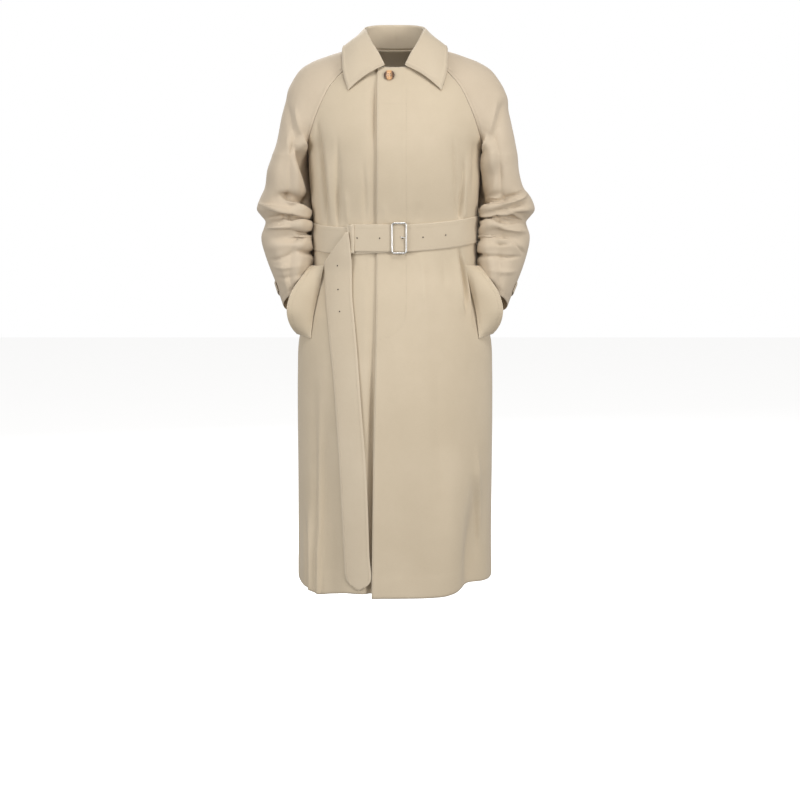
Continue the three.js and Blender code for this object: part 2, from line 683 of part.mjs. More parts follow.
function collarStandPoint(up, u) {
  const { roll, neck } = collarRow(u);
  const inward = new THREE.Vector3(-roll.x, -roll.y, 0).setLength(COLLAR_ROLL_GAP);
  const top = roll.add(inward);
  return neck.lerp(top, up);
}

function buildCollar() {
  addWall("collar_fall", MATERIALS.collar, COLLAR_FALL_ROWS, COLLAR_COLUMNS,
    (i, j) => collarFallPoint(i / COLLAR_FALL_ROWS, (2 * j) / COLLAR_COLUMNS - 1),
    { facing: 1, thick: COLLAR_THICK });
  const reach = COLLAR_STAND_REACH;
  addWall("collar_stand", MATERIALS.collar, COLLAR_STAND_ROWS, COLLAR_COLUMNS,
    (i, j) => collarStandPoint(i / COLLAR_STAND_ROWS, reach * ((2 * j) / COLLAR_COLUMNS - 1)),
    { facing: -1 });
}

// The pockets

function weltPoint(down, out, side) {
  const row = readRow(WELT_ROWS, "at", down);
  const x = side * row.sewnX;
  const sewn = trunkPoint(acrossAt(x, row.sewnZ, false), row.sewnZ, false, WELT_THICK + WELT_REST);
  const free = new THREE.Vector3(side * row.freeX, row.freeY, row.freeZ);
  const point = sewn.lerp(free, out);
  point.y -= WELT_BULGE * Math.sin(Math.PI * out) * Math.sin((Math.PI * down) / (WELT_ROWS.length - 1));
  return point;
}

function buildWelt(name, side) {
  const rows = WELT_ROWS.length - 1;
  addWall(name, MATERIALS.body, rows, WELT_COLUMNS,
    (i, j) => weltPoint(i, j / WELT_COLUMNS, side),
    { facing: side, thick: WELT_THICK });
}

// The belt: going round the waist from the centre of the front, 1 at the wearer's left side,
// 2 behind and 3 at the wearer's right side

function waistPoint(round, z, raised) {
  if (round > 1 && round < 3) {
    return trunkPoint(2 - round, z, true, raised);
  }
  return trunkPoint(round >= 3 ? round - 4 : round, z, false, raised);
}

function beltCentre(round) {
  return readColumn(BELT_ROWS, "round", round, "z");
}

function beltRaise(round) {
  return readColumn(BELT_ROWS, "round", round, "raised");
}

function beltStations() {
  const last = BELT_ROWS[BELT_ROWS.length - 1].round;
  const stations = [];
  for (let i = 0; i < BELT_ROWS.length - 1; i += 1) {
    const { round, steps } = BELT_ROWS[i];
    const next = BELT_ROWS[i + 1].round;
    for (let k = 0; k < steps; k += 1) {
      stations.push(round + ((next - round) * k) / steps);
    }
  }
  stations.push(last);
  return stations;
}

function buildBeltWaist() {
  const stations = beltStations();
  const rows = stations.length - 1;
  const roundAt = (i) => {
    const low = Math.min(Math.max(Math.floor(i), 0), rows - 1);
    return stations[low] + (stations[low + 1] - stations[low]) * (i - low);
  };
  addWall("belt_waist", MATERIALS.belt, rows, BELT_COLUMNS,
    (i, j) => {
      const round = roundAt(i);
      const height = BELT_WIDTH * (j / BELT_COLUMNS - 0.5);
      return waistPoint(round, beltCentre(round) + height, beltRaise(round));
    },
    { facing: 1, thick: BELT_THICK, outside: true });
}

// Cloth lying in front of the belt, placed by its own x and z
function frontLayerPoint(x, z, raised) {
  const section = trunkSection(z, false);
  const share = 1 - Math.abs(x / section.half) ** SECTION_POWER;
  return new THREE.Vector3(x, -section.depth * share ** (1 / SECTION_POWER) - raised, z);
}

function buildHitch() {
  const { left, right, top, foot, raised, edgeDrop, cells } = HITCH;
  addWall("belt_hitch", MATERIALS.belt, cells, cells,
    (i, j) => {
      const x = left + ((right - left) * j) / cells;
      const z = foot + ((top - foot) * i) / cells;
      const fromRight = (right - x) / (right - left);
      return frontLayerPoint(x, z, raised - edgeDrop * smooth(0.45, 1, fromRight));
    },
    { facing: -1, thick: BELT_THICK, outside: true });
}

function tailRaise(z) {
  return readColumn(TAIL_RAISE, "z", z, "raised");
}

function buildTail() {
  const rows = TAIL_ROWS.length - 1;
  addWall("belt_tail", MATERIALS.belt, rows, TAIL_COLUMNS,
    (i, j) => {
      const row = readRow(TAIL_ROWS, "at", i);
      const x = row.left + ((row.right - row.left) * j) / TAIL_COLUMNS;
      return frontLayerPoint(x, row.z, tailRaise(row.z));
    },
    { facing: 1, thick: BELT_THICK, outside: true });
}

function buildBeltLoop(name, round) {
  const { halfRound, pastBelt, bendFrom, bendTo, inside } = BELT_LOOP;
  const centre = beltCentre(round);
  const half = BELT_WIDTH / 2;
  const upper = [half + pastBelt, half + bendFrom, half + bendTo, half - inside];
  const heights = [...upper, 0, ...upper.map((height) => -height).reverse()];
  const rows = heights.length - 1;
  const heightAt = (i) => {
    const low = Math.min(Math.max(Math.floor(i), 0), rows - 1);
    return heights[low] + (heights[low + 1] - heights[low]) * (i - low);
  };
  addWall(name, MATERIALS.belt, rows, 2,
    (i, j) => {
      const height = heightAt(i);
      const over = 1 - smooth(half + bendTo, half + bendFrom, Math.abs(height));
      const place = round + halfRound * (j - 1);
      return waistPoint(place, centre + height, SEAM_GAP + over * (BELT_THICK + BELT_REST));
    },
    { facing: 1, outside: true });
}

// The buckle

function toManifold(geometry) {
  const clean = geometry.clone();
  clean.deleteAttribute("normal");
  clean.deleteAttribute("uv");
  const merged = BufferGeometryUtils.mergeVertices(clean, 1e-4);
  return new wasm.Manifold(new wasm.Mesh({
    numProp: 3,
    vertProperties: new Float32Array(merged.attributes.position.array),
    triVerts: new Uint32Array(merged.index.array),
  }));
}

function fromManifold(solid) {
  const mesh = solid.getMesh();
  const geometry = new THREE.BufferGeometry();
  geometry.setAttribute("position", new THREE.Float32BufferAttribute(mesh.vertProperties, 3));
  geometry.setIndex(Array.from(mesh.triVerts));
  geometry.computeVertexNormals();
  return geometry;
}

function roundSection(radius, sides) {
  const points = [];
  for (let i = 0; i < sides; i += 1) {
    const angle = (2 * Math.PI * i) / sides;
    points.push(new THREE.Vector2(radius * Math.cos(angle), radius * Math.sin(angle)));
  }
  return new THREE.Shape(points);
}

// A flat outline with rounded corners, in x and z
function roundedOutline(halfWide, halfTall, radius) {
  const shape = new THREE.Shape();
  shape.moveTo(-halfWide + radius, -halfTall);
  shape.lineTo(halfWide - radius, -halfTall);
  shape.absarc(halfWide - radius, -halfTall + radius, radius, -Math.PI / 2, 0);
  shape.lineTo(halfWide, halfTall - radius);
  shape.absarc(halfWide - radius, halfTall - radius, radius, 0, Math.PI / 2);
  shape.lineTo(-halfWide + radius, halfTall);
  shape.absarc(-halfWide + radius, halfTall - radius, radius, Math.PI / 2, Math.PI);
  shape.lineTo(-halfWide, -halfTall + radius);
  shape.absarc(-halfWide + radius, -halfTall + radius, radius, Math.PI, 1.5 * Math.PI);
  return shape;
}

function placeOnBelt(mesh, x, raised) {
  const spot = frontLayerPoint(x, BUCKLE.z, raised);
  mesh.position.copy(spot);
}

function buildBuckleFrame() {
  const { halfWide, halfTall, rod, bevel, corner, depth } = BUCKLE;
  const outline = roundedOutline(halfWide + rod, halfTall + rod, corner + rod);
  outline.holes.push(roundedOutline(halfWide - rod, halfTall - rod, corner - rod));
  const ring = new THREE.ExtrudeGeometry(outline, {
    depth: 2 * rod - 2 * bevel, bevelThickness: bevel, bevelSize: bevel, bevelOffset: -bevel,
    bevelSegments: 2, curveSegments: 3,
  });
  ring.translate(0, 0, -rod + bevel);
  ring.rotateX(Math.PI / 2);
  const bar = new THREE.CylinderGeometry(BUCKLE.bar, BUCKLE.bar, 2 * halfTall, BAR_SIDES);
  bar.rotateX(Math.PI / 2);
  bar.translate(0, depth, 0);
  let solid = toManifold(ring).add(toManifold(bar));
  for (const end of [-1, 1]) {
    const post = new THREE.CylinderGeometry(BUCKLE.bar, BUCKLE.bar, depth + BUCKLE.bar, BAR_SIDES);
    post.translate(0, (depth + BUCKLE.bar) / 2, end * (halfTall - 0.1));
    solid = solid.add(toManifold(post));
  }
  const mesh = new THREE.Mesh(fromManifold(solid), MATERIALS.metal);
  mesh.name = "buckle_frame";
  placeOnBelt(mesh, BUCKLE.x, BUCKLE.raised);
  coat.add(mesh);
}

function buildBuckleProng() {
  const { halfWide, rod, raised } = BUCKLE;
  const { start, radius, lift, clear, arch, sides, steps } = PRONG;
  const onStrap = STRAP_OVER_BAR + BELT_THICK + radius + clear - raised;
  const onFrame = rod + radius + clear;
  const path = new THREE.CatmullRomCurve3([
    new THREE.Vector3(start, -onStrap, lift),
    new THREE.Vector3(halfWide * 0.45, -onStrap - arch, lift * 0.7),
    new THREE.Vector3(halfWide * 0.8, -onFrame - 0.6, lift * 0.3),
    new THREE.Vector3(halfWide + rod * 0.6, -onFrame - 0.2, 0),
  ]);
  const geometry = new THREE.ExtrudeGeometry(roundSection(radius, sides), { steps, extrudePath: path });
  const mesh = new THREE.Mesh(geometry, MATERIALS.metal);
  mesh.name = "buckle_prong";
  placeOnBelt(mesh, BUCKLE.x, raised);
  coat.add(mesh);
}

// Buttons: a dished disc with a rounded rim, its back on the cloth

function buttonGeometry(radius, thick) {
  const profile = BUTTON_PROFILE.map(({ out, up }) => new THREE.Vector2(radius * out, thick * up));
  return new THREE.LatheGeometry(profile, BUTTON_SIDES);
}

function addButton(name, radius, thick, spot, normal) {
  const mesh = new THREE.Mesh(buttonGeometry(radius, thick), MATERIALS.horn);
  mesh.name = name;
  mesh.quaternion.setFromUnitVectors(new THREE.Vector3(0, 1, 0), normal);
  mesh.position.copy(spot).addScaledVector(normal, SEAM_GAP);
  coat.add(mesh);
}

function buildTopButton() {
  const { x, z, radius, thick, lift } = TOP_BUTTON;
  const pointAt = (i, j) => trunkPoint(acrossAt(x + j, z + i, false), z + i, false);
  const normal = surfaceNormal(pointAt, 0, 0, radius / 2).negate();
  addButton("top_button", radius, thick, pointAt(0, 0).addScaledVector(normal, lift), normal);
}

// The cuff tabs

function cuffSurface(place, share, side) {
  return sleevePoint(RAGLAN_STEPS + place, share, side);
}

function liftedCuffPoint(place, share, side, lift) {
  const normal = surfaceNormal((i, j) => cuffSurface(i, j, side), place, share, NORMAL_STEP);
  return cuffSurface(place, share, side).addScaledVector(normal, side * lift);
}

function buildCuffTab(name, side) {
  const { top, foot, from, to, lift, rows, columns } = CUFF_TAB;
  addWall(name, MATERIALS.sleeve, rows, columns,
    (i, j) => {
      const place = top + ((foot - top) * i) / rows;
      return liftedCuffPoint(place, from + ((to - from) * j) / columns, side, lift);
    },
    { facing: side, outside: true });
}

function buildCuffButton(name, side) {
  const { place, share, radius, thick } = CUFF_BUTTON;
  const surface = (i, j) => cuffSurface(i, j, side);
  const normal = surfaceNormal(surface, place, share, NORMAL_STEP).multiplyScalar(side);
  const spot = liftedCuffPoint(place, share, side, SEAM_GAP + CLOTH + CUFF_BUTTON.lift);
  addButton(name, radius, thick, spot, normal);
}

buildFronts();
buildBack();
buildSleeve("sleeve_left", 1);
buildSleeve("sleeve_right", -1);
buildCollar();
buildWelt("pocket_welt_left", 1);
buildWelt("pocket_welt_right", -1);
buildBeltWaist();
buildHitch();
buildTail();
buildBeltLoop("belt_loop_left", 1);
buildBeltLoop("belt_loop_right", 3);
buildBuckleFrame();
buildBuckleProng();
buildTopButton();
buildCuffTab("cuff_tab_left", 1);
buildCuffTab("cuff_tab_right", -1);
buildCuffButton("cuff_button_left", 1);
buildCuffButton("cuff_button_right", -1);

export default coat;
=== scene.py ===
"""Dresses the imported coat: cloth panels with their creases, seams, stitches, belt, buckle and buttons."""

import math

import bmesh
import bpy
import numpy as np
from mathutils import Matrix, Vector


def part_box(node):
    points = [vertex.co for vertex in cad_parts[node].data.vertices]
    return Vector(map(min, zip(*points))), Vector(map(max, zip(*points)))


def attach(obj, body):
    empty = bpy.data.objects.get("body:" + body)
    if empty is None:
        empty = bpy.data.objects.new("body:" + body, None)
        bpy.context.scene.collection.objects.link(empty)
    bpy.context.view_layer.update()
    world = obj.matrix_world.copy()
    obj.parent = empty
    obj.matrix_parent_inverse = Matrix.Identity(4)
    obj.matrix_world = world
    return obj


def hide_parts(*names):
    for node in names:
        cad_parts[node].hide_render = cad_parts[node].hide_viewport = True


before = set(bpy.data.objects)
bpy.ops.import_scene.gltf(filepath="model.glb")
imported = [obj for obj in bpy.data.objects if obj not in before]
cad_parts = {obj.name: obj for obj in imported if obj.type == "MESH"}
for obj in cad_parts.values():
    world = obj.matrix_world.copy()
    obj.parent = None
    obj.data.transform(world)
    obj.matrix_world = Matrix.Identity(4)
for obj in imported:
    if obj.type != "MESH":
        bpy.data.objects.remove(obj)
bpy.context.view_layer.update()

# Driving sizes, in metres
CLOTH = 0.0016
SEAM_GAP = 0.0004
SECTION_POWER = 2.2
NECK_CORNER_Z = -0.006
FRONT_NECK_DROP = 0.034
BACK_NECK_Z = 0.008
UNDERLAP_X = 0.042
UNDERLAP_INSET = 0.0034
UNDERLAP_STEP = {"out": 0.026, "in": 0.006}
OVER_FRONT_HEM_DROP = 0.008
OVER_FRONT_HEM_TURN = 1.5
FOLD_END_ROUNDNESS = 1.3
FOLD_CLEAR = 0.12
CREASE_SHARPNESS = 1.6
CREASE_DEPTH = 1.3
ARMPIT_REACH = 0.035
SLEEVE_SIDES = {"outer": (0.25, 0.9), "inner": (0.25, 0.7), "face": (-0.15, 0.45), "hidden": (0.35, 0.85)}
LEAN = {"rest": 0.0006, "most": 0.016, "past_belt": (0.032, 0.042), "ends": (0.48, 0.51)}
BELT_WIDTH = 0.058
BELT_THICK = 0.002
COLLAR_THICK = 0.0022
COLLAR_ROLL_GAP = 0.0026
COLLAR_SEAT = 0.0005
COLLAR_STAND_REACH = 0.92
NECK_RUN = {"front_end": 0.155, "sleeve_from": 2.6, "sleeve_to": 5.4, "last": 8}
WELT_THICK = 0.002
WELT_BULGE = 0.006
WELT_SINK = 0.0014
WELT_SINK_WIDTH = 0.014
WELT_SHELL = 0.001
WELT_REST = 0.0009
BELT_LOOP = {
    "half_round": 0.035, "past_belt": 0.016, "bend_from": 0.008, "bend_to": 0.001,
    "raised": 0.001, "over_belt": 0.0029,
}
BUCKLE = {
    "x": 0.0093, "z": -0.396, "raised": 0.0088, "half_wide": 0.015, "half_tall": 0.0314,
    "rod": 0.002, "corner": 0.005, "flatness": 0.85,
    "bar": 0.0016, "bar_reach": 0.0313, "bar_back": 0.0042, "bar_bend": 0.0018,
}
PRONG = {
    "start": 0.003, "radius": 0.001, "lift": 0.003, "clear": 0.0004, "arch": 0.0022, "on_strap": 0.0051,
}
HITCH = {
    "left": -0.101, "right": -0.086, "top": -0.368, "foot": -0.428, "raised": 0.0066, "edge_drop": 0.0026,
    "drop_from": 0.45, "pinch": 0.0012, "slant": 1.6,
}
TOP_BUTTON = {"x": -0.0115, "z": -0.058, "radius": 0.0113, "thick": 0.004, "lift": 0.0005}
CUFF_TAB = {"top": 13.2, "foot": 14, "from": 0.45, "to": 0.78, "lift": 0.0015}
CUFF_BUTTON = {"place": 13.6, "share": 0.72, "radius": 0.0075, "thick": 0.003, "lift": 0.0005}

# How finely each piece is divided
PANEL_STEP = 0.0045
PANEL_COLUMNS = 106
BACK_COLUMNS = 130
SLEEVE_STEP = 0.0031
SLEEVE_COLUMNS = 150

CAMERA = {"x": 0.011, "y": -3.3, "z": -0.277, "tilt": 8.3, "lens": 67.5, "sensor": 36}
FLOOR_Z = -1.55
FLOOR_HALF = 9

# Stitching and seams
STITCH = {
    "pitch": 0.0034, "length": 0.0026, "thread": 0.00034,
    "smallest": (0.85, 0.9, 0.9), "largest": (1.1, 1.1, 1.1),
}
STITCH_PROUD = 0.00012
STITCH_GROOVE = (0.0005, 0.0022)
STRAP_GROOVE = (0.0004, 0.0014)
BELT_GROOVE = (0.0003, 0.0014)
EDGE_STITCH = 0.0025
TAIL_STITCH = 0.006
BELT_STITCH = 0.0085
LOOP_STITCH = 0.002
WELT_STITCH = 0.0095
COLLAR_STITCH = 0.006
COLLAR_GROOVE = (0.0016, 0.0016)
COLLAR_ROLL = 0.001
CUFF_STITCH = 0.012
SEAM_STITCH = 0.007
HEM_TURN = 0.045
BELT_PRESS = 0.0006
BELT_PRESS_FADE = (-0.001, 0.006)
FLY_TOP_BAR = {"x": (-0.034, 0.024), "z": -0.117}
FLY = {"dent": 0.0006, "dent_width": 0.0028, "ridge_inset": 0.007, "ridge_width": 0.005}
LAP_STEP = 0.0004
EDGE_ROLL = 0.0005
EDGE_ROLL_WIDTH = 0.003
FREE_EDGE = {"rise": 0.004, "width": 0.03, "below": (0.62, 0.85)}
UNDER_FRONT_SHOWS = (-0.03, 0.004)
HOLLOW = {"inset": 0.004, "width": 0.0065}
SLEEVE_LAP = 0.0006
LAP_FADE = (0.002, 0.004)
HEM_FADE = (-0.002, 0.003)
HIDDEN_EASE = (0.8, 0.2)

# Creases and soft swells, each swell as its length and height
CREASE_FADE = {"in": (-0.12, 0.3), "out": (0.75, 1.12), "later": 0.2, "thinner": 0.55}
CREASE_CLEAR = 0.02
ARMPIT_CLEAR = 0.03
SWELL_CLEAR = 0.05
PANEL_SWELL = (0.15, 0.0014)
SLEEVE_RIPPLE = (0.09, 0.0012)
COLLAR_SWELL = (0.07, 0.001)
COLLAR_SWELL_CLEAR = 0.03
WELT_SWELL = (0.05, 0.0008)
STRAP_SWELL = (0.045, 0.0005)
ARMPIT_PASSES = 30
HEM_REACH = 0.22
SOFT_EDGE = 0.3
STITCH_SLOTS = {
    "body": "body_cloth", "sleeves": "sleeve_cloth", "collar": "collar_cloth", "belt": "belt_cloth",
}

# The belt's eyelets: each a ring of thread round a thin dark disc of painted shade
EYELET = {"radius": 0.0019, "thread": 0.0004, "proud": 0.0002, "half_dark": 0.0001}
STRAP_HOLES = (-0.080, -0.031, 0.017, 0.060, 0.107)
TAIL_HOLES = (-0.455, -0.505, -0.552)

# Colours, those of the cloth each with a deeper and a paler one, and the light
CLOTH_COLOURS = {
    "body": ((0.62, 0.52, 0.385), (0.56, 0.465, 0.335), (0.70, 0.60, 0.46)),
    "sleeve": ((0.60, 0.50, 0.38), (0.54, 0.445, 0.33), (0.68, 0.58, 0.455)),
    "collar": ((0.62, 0.525, 0.395), (0.57, 0.475, 0.35), (0.70, 0.605, 0.47)),
    "belt": ((0.615, 0.52, 0.39), (0.565, 0.47, 0.345), (0.70, 0.605, 0.47)),
}
THREAD_COLOUR = (0.60, 0.51, 0.39)
NICKEL_COLOURS = ((0.80, 0.79, 0.77), (0.62, 0.61, 0.59))
# Painted shade: near-black for the discs that stand in the uncut holes of the buttons and the belt
HOLE_SHADE_COLOURS = ((0.018, 0.013, 0.009), (0.05, 0.038, 0.026))
FLOOR_COLOURS = ((0.93, 0.93, 0.93), (0.88, 0.88, 0.88))
HORN_STOPS = (
    (0.0, (0.72, 0.42, 0.20)),
    (0.34, (0.60, 0.32, 0.14)),
    (0.55, (0.20, 0.10, 0.045)),
    (0.85, (0.07, 0.035, 0.02)),
)
TWILL = {"rib": 0.0008, "across": 0.53, "down": 0.85}
YARN = {"fine": (1900.0, 420.0, 1.0), "slub": (110.0, 900.0, 1.0)}
MOTTLING = {"wide": 5.5, "cloudy": 34.0, "soft": 85.0}
SHEEN = {"Sheen Weight": 0.18, "Sheen Roughness": 0.45, "Specular IOR Level": 0.28}
AMBIENT = 0.36
FLOOR_GLOW = 0.6
LIGHTS = (
    ("key", (2.3, -2.3, 0.15), 1.1, 47, (1.0, 0.99, 0.97)),
    ("fill", (-2.4, -2.1, 0.1), 1.5, 40, (0.98, 0.99, 1.0)),
    ("top", (0.4, -1.9, 2.3), 1.2, 40, (1.0, 1.0, 1.0)),
    ("back", (-0.6, 2.6, 1.3), 1.6, 70, (1.0, 1.0, 1.0)),
)

# The two sides: 1 for the wearer's left, -1 for the right
SIDES = {"left": 1, "right": -1}


def table(columns, *rows):
    """A table as one array for each of its named columns, and the row numbers as its column "at"."""
    columns = dict(zip(columns.split(), np.array(rows, float).T))
    columns["at"] = np.arange(len(rows), dtype=float)
    return columns


# The trunk from the hem to the armpit: half width at the side seam, depth in front and behind
TRUNK = table(
    "z side front back",
    (-1.15, 0.217, 0.202, 0.188),
    (-1.06, 0.216, 0.197, 0.183),
    (-0.96, 0.216, 0.191, 0.176),
    (-0.86, 0.216, 0.183, 0.169),
    (-0.77, 0.216, 0.174, 0.16),
    (-0.69, 0.215, 0.165, 0.151),
    (-0.625, 0.212, 0.156, 0.142),
    (-0.57, 0.199, 0.147, 0.132),
    (-0.52, 0.187, 0.137, 0.121),
    (-0.47, 0.18, 0.122, 0.105),
    (-0.428, 0.178, 0.1155, 0.0995),
    (-0.392, 0.178, 0.115, 0.099),
    (-0.356, 0.179, 0.1158, 0.1005),
    (-0.315, 0.182, 0.124, 0.11),
    (-0.27, 0.186, 0.131, 0.119),
    (-0.222, 0.188, 0.134, 0.124),
)

# The raglan seams and the shoulder's crest, from the armpit up to the neck
RAGLAN = table(
    "z x y depth back_z back_x back_y back_depth crest_x crest_z wrap",
    (-0.222, 0.188, 0, 0.134, -0.222, 0.188, 0, 0.124, 0.265, -0.22, 180),
    (-0.21, 0.187, 0.034, 0.1338, -0.209, 0.187, 0.036, 0.123, 0.257, -0.18, 153),
    (-0.19, 0.184, 0.056, 0.132, -0.188, 0.184, 0.06, 0.121, 0.248, -0.142, 130),
    (-0.165, 0.176, 0.07, 0.128, -0.161, 0.176, 0.074, 0.118, 0.236, -0.105, 110),
    (-0.14, 0.167, 0.076, 0.122, -0.133, 0.165, 0.08, 0.114, 0.224, -0.07, 92),
    (-0.11, 0.154, 0.077, 0.113, -0.101, 0.15, 0.08, 0.108, 0.206, -0.041, 76),
    (-0.08, 0.139, 0.072, 0.102, -0.069, 0.133, 0.077, 0.1, 0.181, -0.024, 64),
    (-0.055, 0.118, 0.064, 0.091, -0.042, 0.112, 0.07, 0.09, 0.15, -0.012, 60),
    (-0.03, 0.092, 0.053, 0.078, -0.016, 0.086, 0.06, 0.078, 0.114, -0.001, 60),
    (-0.006, 0.062, 0.036, 0.062, 0.008, 0.055, 0.046, 0.064, 0.073, 0.004, 60),
)

# The sleeve below the armpit: each ring's centre, half width and half depth, and its tilt
SLEEVE = table(
    "z x y wide deep raise lower",
    (-0.221, 0.2265, 0, 0.0385, 0.077, 0, 0),
    (-0.262, 0.2295, 0.002, 0.0405, 0.076, 0, 0.05),
    (-0.288, 0.2315, 0.005, 0.0445, 0.075, -0.02, 0.08),
    (-0.306, 0.2365, 0.008, 0.0505, 0.073, -0.04, 0.1),
    (-0.32, 0.2395, 0.01, 0.0555, 0.072, -0.03, 0.1),
    (-0.333, 0.2415, 0.012, 0.0585, 0.071, 0, 0.1),
    (-0.347, 0.237, 0.011, 0.055, 0.069, 0.04, 0.1),
    (-0.36, 0.2335, 0.009, 0.0495, 0.067, 0.08, 0.1),
    (-0.374, 0.236, 0.007, 0.05, 0.066, 0.1, 0.1),
    (-0.39, 0.24, 0.004, 0.0535, 0.065, 0.12, 0.12),
    (-0.408, 0.24, 0, 0.0535, 0.063, 0.15, 0.15),
    (-0.432, 0.236, -0.004, 0.052, 0.06, 0.2, 0.2),
    (-0.456, 0.2345, -0.008, 0.0455, 0.057, 0.25, 0.24),
    (-0.484, 0.233, -0.012, 0.036, 0.055, 0.3, 0.28),
    (-0.512, 0.229, -0.014, 0.029, 0.053, 0.35, 0.32),
    (-0.541, 0.225, -0.015, 0.023, 0.052, 0.38, 0.36),
)

# Where the over front's free edge runs
OVERLAP = table(
    "z x",
    (-1.16, -0.049),
    (-0.87, -0.045),
    (-0.59, -0.04),
    (-0.32, -0.038),
    (-0.04, -0.036),
)

# How deep the under front falls away beside the over front's edge
OVERLAP_HOLLOW = table(
    "z depth",
    (-0.06, 0.001),
    (-0.12, 0.0065),
    (-0.17, 0.0065),
    (-0.215, 0.003),
    (-0.27, 0.0035),
    (-0.35, 0.003),
    (-0.43, 0.001),
    (-0.56, 0.002),
    (-0.66, 0.005),
    (-0.76, 0.01),
    (-1, 0.012),
    (-1.16, 0.01),
)

# How far the hem of the fronts rises at each distance from the centre
HEM_RISE = table(
    "x rise",
    (-0.217, 0),
    (-0.192, -0.004),
    (-0.165, -0.011),
    (-0.14, -0.007),
    (-0.1, 0),
    (0.1, 0),
    (0.13, 0.004),
    (0.155, 0.012),
    (0.19, 0.008),
    (0.217, 0.001),
)

# How much fuller each sleeve's outer side stands, by its height
SLEEVE_FULLNESS = table(
    "z right left",
    (-0.03, 0, 0),
    (-0.06, 0, 0.003),
    (-0.085, 0.001, 0.007),
    (-0.104, -0.001, 0.0085),
    (-0.13, -0.002, 0.002),
    (-0.192, -0.004, 0),
    (-0.225, 0.001, 0),
    (-0.254, 0.0075, 0),
    (-0.286, 0.0065, 0.003),
    (-0.317, 0.004, 0.008),
    (-0.35, 0, 0.004),
    (-0.38, 0, 0.003),
    (-0.4, -0.002, 0),
    (-0.442, -0.006, -0.002),
    (-0.49, -0.007, -0.002),
    (-0.52, -0.005, -0.002),
    (-0.56, -0.004, -0.002),
)

# The collar from its front edge to the centre of the back: roll line, then outer edge
COLLAR = table(
    "roll_x roll_y roll_z edge_x edge_y edge_z bulge",
    (0.021, -0.088, -0.036, 0.098, -0.097, -0.088, 0.006),
    (0.033, -0.08, -0.012, 0.108, -0.079, -0.054, 0.006),
    (0.048, -0.063, 0.012, 0.111, -0.058, -0.024, 0.005),
    (0.058, -0.038, 0.033, 0.112, -0.033, -0.001, 0.003),
    (0.063, -0.006, 0.045, 0.111, 0.002, 0.005, 0),
    (0.061, 0.025, 0.052, 0.097, 0.042, 0.005, 0.001),
    (0.048, 0.048, 0.057, 0.076, 0.073, -0.002, 0.004),
    (0.026, 0.065, 0.06, 0.04, 0.093, -0.012, 0.006),
    (0, 0.071, 0.061, 0, 0.099, -0.017, 0.006),
)

# The pocket welt from its top end to its foot: its sewn edge and its free edge
WELT = table(
    "sewn_x sewn_z free_x free_y free_z",
    (0.152, -0.456, 0.185, -0.046, -0.456),
    (0.158, -0.484, 0.201, -0.068, -0.48),
    (0.163, -0.51, 0.217, -0.083, -0.503),
    (0.168, -0.536, 0.228, -0.091, -0.528),
    (0.172, -0.562, 0.232, -0.092, -0.554),
    (0.176, -0.588, 0.227, -0.08, -0.582),
    (0.18, -0.612, 0.214, -0.062, -0.606),
)

# The hanging belt end, from the hitch down to its point
TAIL = table(
    "z left right",
    (-0.384, -0.103, -0.098),
    (-0.404, -0.118, -0.095),
    (-0.428, -0.136, -0.093),
    (-0.45, -0.15, -0.091),
    (-0.47, -0.15, -0.091),
    (-0.52, -0.148, -0.09),
    (-0.57, -0.143, -0.085),
    (-0.625, -0.138, -0.08),
    (-0.69, -0.131, -0.075),
    (-0.77, -0.125, -0.069),
    (-0.86, -0.119, -0.062),
    (-0.96, -0.114, -0.057),
    (-1.06, -0.109, -0.054),
    (-1.118, -0.104, -0.051),
    (-1.14, -0.079, -0.074),
)

# How far the tail stands in front of the coat
TAIL_LIFT = table(
    "z raised",
    (-0.384, 0.0094),
    (-0.43, 0.0092),
    (-0.47, 0.004),
    (-0.56, 0.0028),
    (-1.15, 0.0028),
)

# The belt's run from the hitch through the buckle and round the waist
BELT = table(
    "round z raised",
    (-0.32, -0.396, 0.0038),
    (-0.02, -0.396, 0.0038),
    (0.025, -0.396, 0.0051),
    (0.072, -0.396, 0.0039),
    (0.2, -0.394, 0.001),
    (1, -0.38, 0.0009),
    (3, -0.394, 0.0009),
    (3.6, -0.402, 0.0009),
    (4.018, -0.397, 0.0009),
)

# The main folds of the fronts, from top to foot, out where the height is positive
FRONT_FOLDS = table(
    "top_x top_z foot_x foot_z width height",
    (-0.158, -0.13, -0.152, -0.345, 0.012, -0.003),
    (-0.138, -0.15, -0.135, -0.345, 0.012, 0.003),
    (-0.12, -0.195, -0.122, -0.35, 0.01, -0.003),
    (-0.064, -0.27, -0.062, -0.35, 0.012, -0.002),
    (0.142, -0.215, 0.139, -0.35, 0.01, -0.004),
    (0.155, -0.195, 0.153, -0.35, 0.012, 0.003),
    (0.128, -0.44, 0.15, -0.56, 0.012, 0.006),
    (0.143, -0.44, 0.163, -0.56, 0.009, -0.008),
    (-0.15, -0.45, -0.158, -0.57, 0.016, -0.005),
    (0.062, -0.43, 0.066, -0.64, 0.02, 0.004),
    (-0.14, -0.7, -0.146, -1.25, 0.024, -0.01),
    (-0.172, -0.88, -0.176, -1.3, 0.026, 0.016),
    (0.186, -0.9, 0.164, -1.26, 0.024, -0.024),
    (0.12, -0.82, 0.112, -1.26, 0.034, 0.008),
    (0.02, -0.76, 0.026, -1.3, 0.034, -0.004),
)

